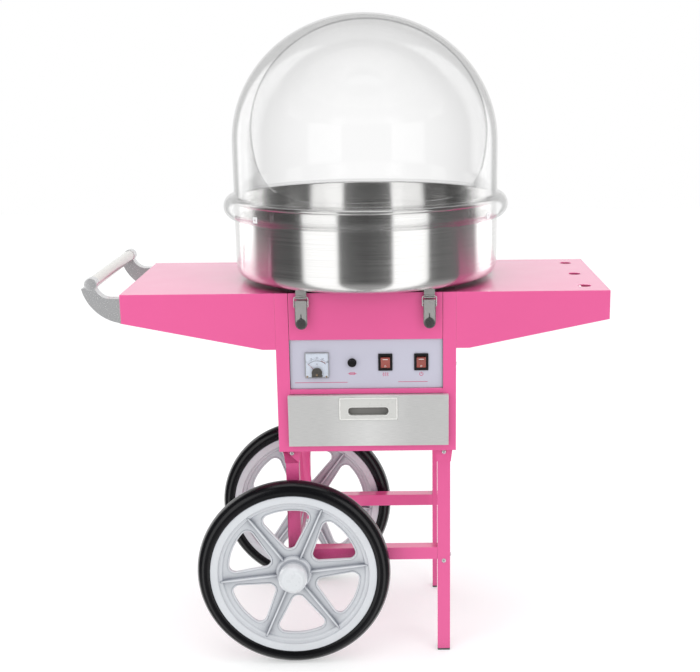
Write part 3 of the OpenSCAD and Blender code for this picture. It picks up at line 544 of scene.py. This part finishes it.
for node in ("left_side_panel", "right_side_panel", "back_panel", "floor_pan", "machine_shelf",
             "machine_housing", "machine_top_plate", "control_panel", "motor_bracket", "drawer_box"):
    soften(node, 1.0, 0.25)
for node in ("left_shelf", "right_shelf"):
    soften(node, 1.4, 0.25)
for node in ("leg_front_left", "leg_rear_left", "leg_front_right", "leg_rear_right", "crossbar_front",
             "crossbar_rear"):
    soften(node, 1.8, 0.3)
for node in ("handle_bracket_front", "handle_bracket_rear"):
    soften(node, 2.2, 1.6, crease=45)
soften("drawer_front", 1.2, 0.3)
soften("drawer_pull", 1.2, 0.5)
for node in ("bowl_hooks", "latch_bases"):
    soften(node, 0.4, 0.3)
for node in ("left_latch_lever", "right_latch_lever"):
    soften(node, 0.6, 0.3)
for node in ("voltmeter_case", "fuse_holder", "fuse_cap", "power_inlet", "brush_holder", "dome_clips",
             "motor_body", "axle_hardware", "spinner_shaft"):
    soften(node, 0.6, 0.3)
for node in ("heat_switch_body", "power_switch_body", "heat_switch_rocker", "power_switch_rocker"):
    soften(node, 0.8, 0.4)
soften("foot_caps", 1.5, 0.6)

# ---- handle tube and axle ----

HANDLE_X = -510.0
HANDLE_Z = 762.0
AXLE_X = -147.5
AXLE_Z = 189.0
bar = fillet([(0, 0), (11, 0), (11, 330), (0, 330)], [0, 1, 1, 0], 5)
where = at(HANDLE_X, 165, HANDLE_Z) @ turn(90, "X")
piece("handle_tube_shape", lathe(bar, 96, False), where, "handle_tube")
for end, y in (("front", -157.5), ("rear", 180)):
    boss = fillet([(0, 0), (12, 0), (12, 22.5), (0, 22.5)], [0, 1.6, 1.6, 0], 5)
    where = at(HANDLE_X, y, HANDLE_Z) @ turn(90, "X")
    piece(f"handle_{end}_boss", lathe(boss, 96, False), where, body="cart", look="bracket_alloy")
bar = fillet([(0, 0), (6, 0), (6, 462), (0, 462)], [0, 1.2, 1.2, 0])
piece("axle_shape", lathe(bar, 48, False), at(AXLE_X, 231, AXLE_Z) @ turn(90, "X"), "axle")

# ---- wheels, drawn with their axis on Z and their outer side up ----

def window(grow):
    """A spoke window's outline, a triangle with round corners that points at the hub, made larger by grow."""
    near = 63.0
    far = 115.0
    half = 16.0
    r = 13.0 + grow
    corner = Vector((far * math.cos(math.radians(half)), far * math.sin(math.radians(half))))
    slope = math.degrees(math.atan2(corner.y, corner.x - near))
    upper = arc(corner.x, corner.y, r, r, half, slope + 90, 8)
    tip = arc(near, 0, r, r, slope + 90, 270 - slope, 10)
    lower = [(x, -y) for x, y in reversed(upper)]
    outer = arc(0, 0, 128 + grow, 128 + grow, -half, half, 12)
    return outer[1:] + upper[1:] + tip[1:-1] + lower[:-1]


def turned_by(points, degrees):
    return [(turn(degrees, "Z") @ Vector((x, y, 0))).to_2d() for x, y in points]


def wheel_rim():
    half = 17.0
    ring = [(163, -half), (163, half), (148, half), (147, 11), (141, 9.5), (138.5, 4.5), (130, 3), (130, -3),
            (138.5, -4.5), (141, -9.5), (147, -11), (148, -half)]
    parts = [lathe(fillet(ring, [1.5, 1.5, 2.2, 2.5, 2.5, 2, 0, 0, 2, 2.5, 2.5, 2.2], 4), 240)]
    rim = arc(0, 0, 139, 139, 0, 360, 180)[:-1]
    holes = [list(reversed(turned_by(window(0), 60 * i + 30))) for i in range(6)]
    parts.append(slab([rim] + holes, 3.0, 1.0, 2))
    for i in range(6):
        for level in (-2.6, 2.6):
            bead = [(p[0], p[1], level) for p in turned_by(window(2.2), 60 * i + 30)]
            parts.append(tube(bead, 1.7, True, 3))
        parts.append((block((23, -1.7, -11.5), (145.5, 1.7, 11.5), 0.9, 2), turn(60 * i, "Z")))
    hub = [(7, -28.5), (24, -28.5), (24, -12), (32, -12), (36, -5), (36, 5), (32, 12), (24, 12), (24, 30),
           (7, 30)]
    parts.append(lathe(fillet(hub, [0.5, 1.5, 3, 2, 4, 4, 2, 3, 1.5, 0.5], 4), 96))
    return join(*parts)


def wheel_tyre():
    """Solid rubber, with a bead at the rim and two fine lines round each side wall."""
    side = [(163, 16.5), (164, 18.2), (166.2, 18.6), (166.8, 18.1), (169.5, 19.0)]
    crown = arc(172, 0, 17, 19, 82, -82, 40)
    return lathe(side + crown + [(r, -h) for r, h in reversed(side)], 300)


def hub_cap():
    profile = [(0, 24), (24, 24), (28, 24), (28, 37), (26, 42.5), (21, 48.0), (19, 49), (0, 49)]
    return lathe(fillet(profile, [0, 0, 0.8, 4, 4, 2.5, 2, 0], 5, False), 128, False)


WHEEL_Y = 192.0
for side, angle, sign in (("front", 90, -1), ("rear", -90, 1)):
    where = at(AXLE_X, sign * WHEEL_Y, AXLE_Z) @ turn(angle, "X") @ turn(6.5, "Z")
    piece(side + "_wheel_rim_shape", wheel_rim(), where, side + "_wheel_rim", crease=50)
    piece(side + "_wheel_tyre_shape", wheel_tyre(), where, side + "_wheel_tyre", crease=50)
    piece(side + "_hub_cap_shape", hub_cap(), where, side + "_hub_cap", crease=50)

# ---- bowl and its seat, drawn about the bowl's axis ----

BOWL = (0.0, 14.0)
wall = fillet([(52, 761), (52, 749), (260, 749), (260, 899)], [0, 3, 26, 0], 12, False)
inner = fillet([(258.8, 899), (258.8, 750.2), (53.2, 750.2), (53.2, 761)], [0, 25, 2, 0], 12, False)
rolled = [(260, 897.4)] + arc(262, 899, 4, 4, -120, 150, 24)
profile = [tuple(p) for p in wall[:-1]] + rolled + [tuple(p) for p in inner[1:]]
piece("bowl_shape", lathe(profile, 360), at(*BOWL, 0), "bowl", crease=60)
seat = fillet([(70, 742), (92, 742), (92, 749), (70, 749)], 1.2)
piece("bowl_seat_ring_shape", lathe(seat, 96), at(*BOWL, 0), "bowl_seat_ring")

# ---- spinning head ----

HEAD_Z = 776.0
lid = [(22, 814), (22, 806), (25, 804), (73, 804), (73, 806), (66, 806.8), (30, 808), (24.5, 814)]
piece("spinner_lid_shape", lathe(fillet(lid, 0.8, 3), 160), at(*BOWL, 0), "spinner_lid", crease=50)
for row in range(3):
    z = HEAD_Z + 8 + 6 * row
    coil = []
    for k in range(720):
        around = 2 * math.pi * k / 720
        wave = 2 * math.pi * k / 8
        r = 62 + 1.3 * math.cos(wave)
        coil.append((r * math.cos(around), r * math.sin(around), z + 1.3 * math.sin(wave)))
    piece(f"heating_coil_{row + 1}", tube(coil, 0.35, True, 1), at(*BOWL, 0), body="spinner",
          look="element_wire", crease=80)
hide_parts("heating_element")
cup = [(0, 776), (73, 776), (73, 781), (69, 781), (69, 778.5), (0, 778.5)]
parts = [lathe(fillet(cup, [0, 0.8, 0.8, 0.5, 0.5, 0], 3, False), 160, False)]
parts.append(lathe(fillet([(5.2, 762), (13, 762), (13, 792), (5.2, 792)], 0.8), 64))
for i in range(30):
    turned_slot = turn(i * 12, "Z")
    parts.append((block((65.5, 1, 778), (67, 6.0, 804), 0.2), turned_slot))
    parts.append((block((65.5, 6.0, 778), (67, 13.2, 804), 0.2), turned_slot))
for z in (778, 800):
    parts.append(lathe([(65.5, z), (67, z), (67, z + 4), (65.5, z + 4)], 160))
piece("spinner_cup_shape", join(*parts), at(*BOWL, 0), "spinner_cup", crease=40)

# ---- dome ----

FLANGE_Z = 886.7
outer = arc(262, FLANGE_Z, 18.95, 22, -86, 90, 30)
inner = arc(262, FLANGE_Z, 16, 16.6, 90, -80, 30)
rise = fillet([outer[-1], (260, 910.5), (260, 925)], [0, 5, 0], 5, False)
fall = fillet([(257, 925), (257, 906), (262, 903.3)], [0, 4, 0], 5, False)
shell = outer[:-1] + [tuple(p) for p in rise] + arc(0, 1006, 260, 246, 0, 90, 90)[:-1] + [(0, 1252)]
shell += [(0, 1249)] + arc(0, 1006, 257, 243, 90, 0, 90)[1:] + [tuple(p) for p in fall[:-1]] + inner
dome = lathe(shell, 384)
corner = (-241.5, 1016.0)
lean = 14.5
bend = arc(corner[0], corner[1], 100, 100, -90, -lean, 40)
ABOVE = 1275.0
IN_FRONT = -520.0
bend_top = bend[-1][0] + (ABOVE - bend[-1][1]) * math.tan(math.radians(lean))
mouth = [(IN_FRONT, 916.0)] + bend + [(bend_top, ABOVE), (IN_FRONT, ABOVE)]
tool = bmesh.new()
ends = []
for x in (-500.0, 500.0):
    ends.append([tool.verts.new((x, y, z)) for y, z in mouth])
tool.faces.new(ends[0])
tool.faces.new(list(reversed(ends[1])))
for k in range(len(mouth)):
    n = (k + 1) % len(mouth)
    tool.faces.new((ends[0][n], ends[0][k], ends[1][k], ends[1][n]))
bmesh.ops.recalc_face_normals(tool, faces=tool.faces)
dome = cut(dome, tool)


def on_mouth(point):
    """Whether a point of the dome lies on the line that its mouth was cut along."""
    here = Vector((point.y, point.z))
    for a, b in zip(mouth[:-1], mouth[1:]):
        a = Vector(a)
        b = Vector(b)
        share = max(0.0, min(1.0, (here - a).dot(b - a) / (b - a).length_squared))
        if (a.lerp(b, share) - here).length < 0.02:
            return True
    return False


for face in dome.faces:
    face.material_index = int(all(on_mouth(vert.co) for vert in face.verts))
shown_dome = piece("dome_shape", dome, at(*BOWL, 0) @ turn(5, "Z"), "dome", crease=40)
shown_dome.data.materials.append(MATERIALS["dome_cut"].mat)

# ---- latches ----

PIVOT = (-189.0, 725.0)
LEVER_Y = -195.0
TIP_Z = 687.0
for side, x in (("left", -119.5), ("right", 119.5)):
    loop = [(-10.4, 0, -7), (-13.05, 0, -7), (-13.05, 0, 11.5), (13.05, 0, 11.5), (13.05, 0, -7),
            (10.4, 0, -7)]
    loop = fillet(loop, [0, 1.5, 4.5, 4.5, 1.5, 0], 6, False)
    wire = tube(loop, 1.25, False, 4)
    piece(side + "_latch_bail_shape", wire, at(x, *PIVOT), side + "_latch_bail", crease=70)
    lever = side + "_lever"
    button = [(0, 0), (9.6, 0), (9.6, 0.9), (8.4, 1.5), (0, 1.5)]
    made = lathe(fillet(button, [0, 0, 0.4, 0.6, 0], 3, False), 48, False)
    made = join(made, lathe(fillet([(2.2, 1.4), (3.4, 1.4), (3.4, 2.0), (2.2, 2.0)], 0.25), 32))
    where = at(x, LEVER_Y, TIP_Z) @ turn(90, "X")
    piece(side + "_latch_catch", made, where, body=lever, look="latch_dark")
    # A dark line round the lever's face: painted shade along its edges.
    tip = [(px * 10.6, 0, pz * 10.6 - 32.5) for px, pz in arc(0, 0, 1, 1, 0, -180, 24)]
    border = tube([(11.0, 0, 10.5)] + tip + [(-11.0, 0, 10.5)], 0.5, False, 2)
    piece(side + "_latch_edge_shade", border, at(x, LEVER_Y, 719.5), body=lever, look="latch_dark", crease=60)
    # A dark keyhole mark on the lever's face: painted shade of the keyhole.
    round_end = lathe([(0, 0), (2.0, 0), (2.0, 0.25), (0, 0.25)], 24, False)
    slot = join(block((-0.9, -0.15, 9.2), (0.9, 0.1, 18), 0.05),
                (round_end, Matrix.Translation((0, 0.1, 9.6)) @ turn(90, "X")))
    piece(side + "_latch_keyhole", slot, at(x, LEVER_Y, TIP_Z), body=lever, look="latch_dark")
    for end, s in (("a", -1), ("b", 1)):
        rivet = lathe(fillet([(0, 0), (2.6, 0), (2.6, 0.8), (0, 1.2)], [0, 0, 0.7, 0], 4, False), 24, False)
        where = at(x + s * 11.4, *PIVOT) @ turn(90 * s, "Y")
        piece(f"{side}_latch_rivet_{end}", rivet, where, body=lever, look="chrome_screws")

# ---- screws ----

def pan_head(r, h):
    """A pan-head screw with a cross recess, its face up."""
    side = [(0, 0), (r, 0), (r, h * 0.45), (r * 0.72, h * 0.92), (0, h)]
    head = lathe(fillet(side, [0, 0, h * 0.4, r * 0.25, 0], 5, False), 40, False)
    cross = join(block((-r * 0.55, -r * 0.14, h * 0.45), (r * 0.55, r * 0.14, h * 1.2)),
                 block((-r * 0.14, -r * 0.55, h * 0.46), (r * 0.14, r * 0.55, h * 1.21)))
    return cut(head, cross)


def screws(name, size, places, nodes=(), look="chrome_screws"):
    """Screws of one size on the cart, each at a place that also turns it."""
    head = pan_head(*size)
    parts = [(head.copy(), where) for where in places]
    head.free()
    return piece(name, join(*parts), Matrix(), nodes, "cart", look)


front = turn(90, "X")
back = turn(-90, "X")
places = []
for x, z in ((-147.5, 423), (147.5, 423), (147.5, 195)):
    lift = 161.5 if z > 400 else 160.0
    places.append(at(x, -lift, z) @ front @ turn(20 + z, "Z"))
    places.append(at(x, lift, z) @ back @ turn(50 + z, "Z"))
for sign in (-1, 1):
    for y in (-147.5, 147.5):
        places.append(at(sign * 160, y, 422) @ turn(90 * sign, "Y") @ turn(30, "Z"))
        places.append(at(sign * 160, y, 203) @ turn(90 * sign, "Y") @ turn(70, "Z"))
        places.append(at(sign * 170, y, 596) @ turn(90 * sign, "Y"))
screws("cart_screws_shape", (4.4, 2.8), places, "cart_screws")

# ---- voltmeter ----

METER = (-93.5, 602.6)
FACE_Y = -174.5
meter_pivot = at(METER[0], FACE_Y - 2.55, METER[1] - 14)
soften("voltmeter_dial", 0.3, 0.2)
meter_edge = box_outline(21.9, 23.9)
plate = slab([fillet(meter_edge, 0.8)], 0.1, 0.03, 1)
where = at(METER[0], FACE_Y - 2.12, METER[1]) @ turn(90, "X")
piece("voltmeter_plate", plate, where, body="cart", look="dial_white")
rim = tube(flat_loop(fillet(meter_edge, 1.0)), 0.7, True, 2)
piece("voltmeter_rim", rim, at(METER[0], FACE_Y - 2.0, METER[1]), body="cart", look="meter_rim", crease=60)
scale_parts = []
ticks = 20
for k in range(ticks + 1):
    angle = 45 - 90 * k / ticks
    long = k % 5 == 0
    tick = block((-0.16, -0.12, 22.5), (0.16, 0.0, 25.6 if long else 24.2))
    scale_parts.append((tick, turn(-angle, "Y")))
for radius, width in ((22.4, 0.22), (26.4, 0.14)):
    line = arc(0, 0, radius, radius, 45, 135, 40)
    scale_parts.append(tube([(px, -0.06, pz) for px, pz in line], width, False, 1))
for k, label in enumerate(("0", "75", "150", "225", "300")):
    angle = math.radians(135 - 90 * k / 4)
    spot = Matrix.Translation((28.6 * math.cos(angle), -0.06, 28.6 * math.sin(angle)))
    scale_parts.append((words(label, 3.2), spot))
scale_parts.append((words("V", 4.6), Matrix.Translation((0, -0.06, 15.5))))
piece("voltmeter_scale", join(*scale_parts), meter_pivot, body="cart", look="ink_dark", crease=60)
red = tube([(px, -0.07, pz) for px, pz in arc(0, 0, 23.6, 23.6, 47, 70, 12)], 0.42, False, 1)
piece("voltmeter_red_zone", red, meter_pivot, body="cart", look="needle_red", crease=60)

outline = [(-0.7, -6.0), (0.7, -6.0), (0.45, 6.0), (0.14, 24.0), (-0.14, 24.0), (-0.45, 6.0)]
blade = slab([outline], 0.25, 0.08, 1)
blade.transform(turn(90, "X"))
boss = lathe(fillet([(0, 0), (2.3, 0), (2.3, 1.8), (0, 2.4)], [0, 0, 0.8, 0], 4, False), 32, False)
needle = join(blade, (boss, Matrix.Translation((0, 0.6, 0)) @ turn(90, "X")))
where = at(METER[0], FACE_Y - 4.3, METER[1] - 14) @ turn(-45, "Y")
piece("voltmeter_needle_shape", needle, where, "voltmeter_needle")
places = [at(METER[0] + s * 18.2, FACE_Y - 9.45, METER[1] - 20.5) @ front for s in (-1, 1)]
places.append(at(METER[0], FACE_Y - 9.4, METER[1] - 17.5) @ front)
screws("voltmeter_screws", (1.9, 1.1), places, look="brass")
soften("voltmeter_cover", 0.7, 0.3)

# ---- fuse cap, switches and their signs ----

FUSE = (-27.0, 606.5)
ridges = [(block((6.1, -0.45, 3.6), (7.0, 0.45, 8.2), 0.2, 1), turn(k * 15, "Z")) for k in range(24)]
where = at(FUSE[0], FACE_Y, FUSE[1]) @ front
piece("fuse_cap_ridges", join(*ridges), where, body="fuse_cap", look="black_plastic")
collar = lathe(fillet([(7.0, 2.0), (8.4, 2.0), (8.4, 3.0), (7.0, 3.0)], 0.35), 64)
piece("fuse_collar", collar, where, body="cart", look="black_plastic")

SWITCH_Z = 607.0
for name, x in (("heat", 36.0), ("power", 104.0)):
    tilt = at(x, FACE_Y + 2, SWITCH_Z) @ turn(9, "X")
    bar = block((-4.8, -6.62, 6.6), (4.8, -6.2, 7.6), 0.15, 1)
    circle = [(1.5 * px, -6.15, 1.5 * pz - 7.0) for px, pz in arc(0, 0, 1, 1, 0, 360, 24)[:-1]]
    ring = tube(circle, 0.28, True, 1)
    piece(name + "_switch_marks", join(bar, ring), tilt, body=name + "_rocker", look="ink_white")

INK_Y = -0.036


def sign(name, lines, x, z):
    """Thin printed lines on the control panel, each a list of (x, z) and whether it closes."""
    parts = [tube([(px, INK_Y, pz) for px, pz in points], 0.55, closed, 1) for points, closed in lines]
    flat = join(*parts)
    flat.transform(Matrix.Diagonal((1, 0.25, 1, 1)))
    return piece(name, flat, at(x, FACE_Y, z), body="cart", look="ink_pink", crease=60)


sign("fuse_sign", [(fillet(box_outline(5, 1.8), 0.6), True), ([(-8, 0), (8, 0)], False)], -27, 585)
waves = []
for dx in (-4, 0, 4):
    waves.append(([(dx + 1.1 * math.sin(k * 0.62), -3.4 + 0.42 * k) for k in range(17)], False))
sign("heat_sign", waves, 36, 583)
sign("left_rule", [([(-50, 0), (50, 0)], False)], -86, 568)
sign("right_rule", [([(-28, 0), (28, 0)], False)], 88, 568)
sign("power_sign", [(arc(0, 0, 3.4, 3.4, 125, 415, 30), False), ([(0, 0.4), (0, 4.4)], False)], 104, 583)

# ---- drawer pull's raised border and lip in a painted highlight, and a plate of painted shade in its recess ----

PULL_X = 2.8
PULL_BACK = -183.8
SLOT_Z = 515.0
# A lighter tube on the pull's raised border: painted highlight.
border = tube(flat_loop(fillet(box_outline(54, 20.5), 2.5)), 1.3, True, 3)
piece("drawer_pull_border", border, at(PULL_X, -191.7, 520), body="drawer", look="pull_highlight", crease=60)
# A dark grey plate at the back of the recess: painted shade.
hollow = fillet(box_outline(38.2, 8.2), 7.8, 6)
where = at(PULL_X, PULL_BACK, SLOT_Z) @ turn(90, "X")
piece("drawer_pull_shade_plate", slab([hollow], 0.25, 0.08, 1), where, body="drawer", look="pull_shade")
# A lighter lip round the recess: painted highlight.
lip = tube([(p[0] * 1.02, 0.0, p[1] * 1.05) for p in hollow], 0.7, True, 2)
piece("drawer_pull_lip", lip, at(PULL_X, -192.0, SLOT_Z), body="drawer", look="pull_highlight", crease=60)

# ---- looks of the CAD meshes themselves ----

for node, obj in NODES.items():
    obj.data.materials.clear()
    obj.data.materials.append(MATERIALS[SLOT_OF[node]].mat)

# ---- floor, background, lights and camera ----

mesh = bpy.data.meshes.new("floor")
mesh.from_pydata([(-7, -7, 0), (7, -7, 0), (7, 7, 0), (-7, 7, 0)], [], [(0, 1, 2, 3)])
floor = bpy.data.objects.new("floor", mesh)
scene.collection.objects.link(floor)
floor.location.z = -0.0004
pale = Paint("pale_floor", Roughness=0.85, Emission_Color=(1, 1, 1, 1), Emission_Strength=0.42)
pale.tint(pale.noise(3, 3), (0.60, 0.61, 0.61, 1), (0.62, 0.63, 0.63, 1))
mesh.materials.append(pale.mat)
floor.visible_glossy = False

world = bpy.data.worlds.new("studio")
scene.world = world
world.use_nodes = True
tree = world.node_tree
tree.nodes.clear()


def wnode(kind, **values):
    made = tree.nodes.new(kind)
    for key, value in values.items():
        setattr(made, key, value)
    return made


def wmath(operation, a, b=0.0):
    made = wnode("ShaderNodeMath", operation=operation)
    for socket, value in zip(made.inputs, (a, b)):
        if isinstance(value, (int, float)):
            socket.default_value = value
        else:
            tree.links.new(value, socket)
    return made.outputs["Value"]


def wramp(source, stops):
    made = wnode("ShaderNodeValToRGB")
    line = made.color_ramp
    while len(line.elements) < len(stops):
        line.elements.new(0.5)
    for element, (position, value) in zip(line.elements, stops):
        element.position = position
        element.color = (value, value, value, 1)
    tree.links.new(source, made.inputs["Fac"])
    return made.outputs["Color"]


# Gloss sees two tall bright bands in front, dark between and beside them, and bright walls behind
split = wnode("ShaderNodeSeparateXYZ")
tree.links.new(wnode("ShaderNodeTexCoord").outputs["Generated"], split.inputs["Vector"])
ahead = wmath("MULTIPLY", split.outputs["Y"], -1.0)
around = wmath("DIVIDE", wmath("ARCTAN2", wmath("ABSOLUTE", split.outputs["X"]), ahead), math.pi)
bands = wramp(around, [(0.0, 0.05), (0.06, 0.08), (0.122, 0.16), (0.137, 1.4), (0.298, 1.4), (0.318, 0.16),
                       (0.37, 0.07), (0.50, 0.10), (0.60, 0.26), (0.635, 1.5), (0.67, 2.3), (0.77, 2.3),
                       (0.80, 0.95), (1.0, 0.95)])
right_side = wmath("MULTIPLY", wmath("MAXIMUM", split.outputs["X"], 0.0), 0.08)
bands = wmath("ADD", bands, right_side)
height = wmath("ADD", wmath("MULTIPLY", split.outputs["Z"], 0.5), 0.5)
lift = wramp(height, [(0.0, 1.0), (0.40, 1.0), (0.50, 1.0), (0.78, 1.0), (0.82, 0.16), (0.93, 0.18),
                      (1.0, 0.3)])
gloss_sky = wmath("MULTIPLY", bands, lift)
ground = wramp(height, [(0.0, 0.42), (0.24, 0.42), (0.36, 0.0), (1.0, 0.0)])
gloss_sky = wmath("MAXIMUM", gloss_sky, ground)
light_path = wnode("ShaderNodeLightPath")
soft_sky = wramp(height, [(0.0, 0.7), (0.5, 0.78), (1.0, 1.15)])
choice = wnode("ShaderNodeMix", data_type="RGBA")
tree.links.new(light_path.outputs["Is Glossy Ray"], choice.inputs["Factor"])
tree.links.new(soft_sky, choice.inputs["A"])
tree.links.new(gloss_sky, choice.inputs["B"])
seen = wnode("ShaderNodeMix", data_type="RGBA")
tree.links.new(light_path.outputs["Is Camera Ray"], seen.inputs["Factor"])
tree.links.new(choice.outputs["Result"], seen.inputs["A"])
seen.inputs["B"].default_value = (1, 1, 1, 1)
sky = wnode("ShaderNodeBackground")
tree.links.new(seen.outputs["Result"], sky.inputs["Color"])
sky.inputs["Strength"].default_value = 1.0
tree.links.new(sky.outputs["Background"], wnode("ShaderNodeOutputWorld").inputs["Surface"])


def soft_box(name, place, aim, size, watts, gloss=False):
    data = bpy.data.lights.new(name, "AREA")
    data.shape = "RECTANGLE"
    data.size = size[0]
    data.size_y = size[1]
    data.energy = watts
    lamp = bpy.data.objects.new(name, data)
    scene.collection.objects.link(lamp)
    lamp.location = place
    lamp.rotation_euler = (Vector(aim) - Vector(place)).to_track_quat("-Z", "Y").to_euler()
    lamp.visible_camera = False
    lamp.visible_glossy = gloss
    return lamp


soft_box("overhead", (0.0, -0.3, 3.2), (0, 0, 0.6), (2.6, 2.2), 24, True)
soft_box("front_left", (-2.2, -2.6, 1.7), (0, 0, 0.6), (1.3, 1.9), 15)
soft_box("front_right", (2.2, -2.6, 1.7), (0, 0, 0.6), (1.3, 1.9), 15)

data = bpy.data.cameras.new("camera")
camera = bpy.data.objects.new("camera", data)
scene.collection.objects.link(camera)
data.sensor_width = 36.0
data.lens = 61.22
data.shift_x = -0.0714
data.shift_y = 0.02
data.clip_start = 0.05
data.clip_end = 60.0
PITCH, YAW, ROLL = 13.72, 0.31, -0.51
EYE = Vector((52.12, -2359.7, 1163.61))
camera.matrix_world = (Matrix.Translation(CART + EYE / 1000)
                       @ turn(-YAW, "Z") @ turn(90 - PITCH, "X") @ turn(ROLL, "Z"))
scene.camera = camera
scene.view_settings.view_transform = "Standard"
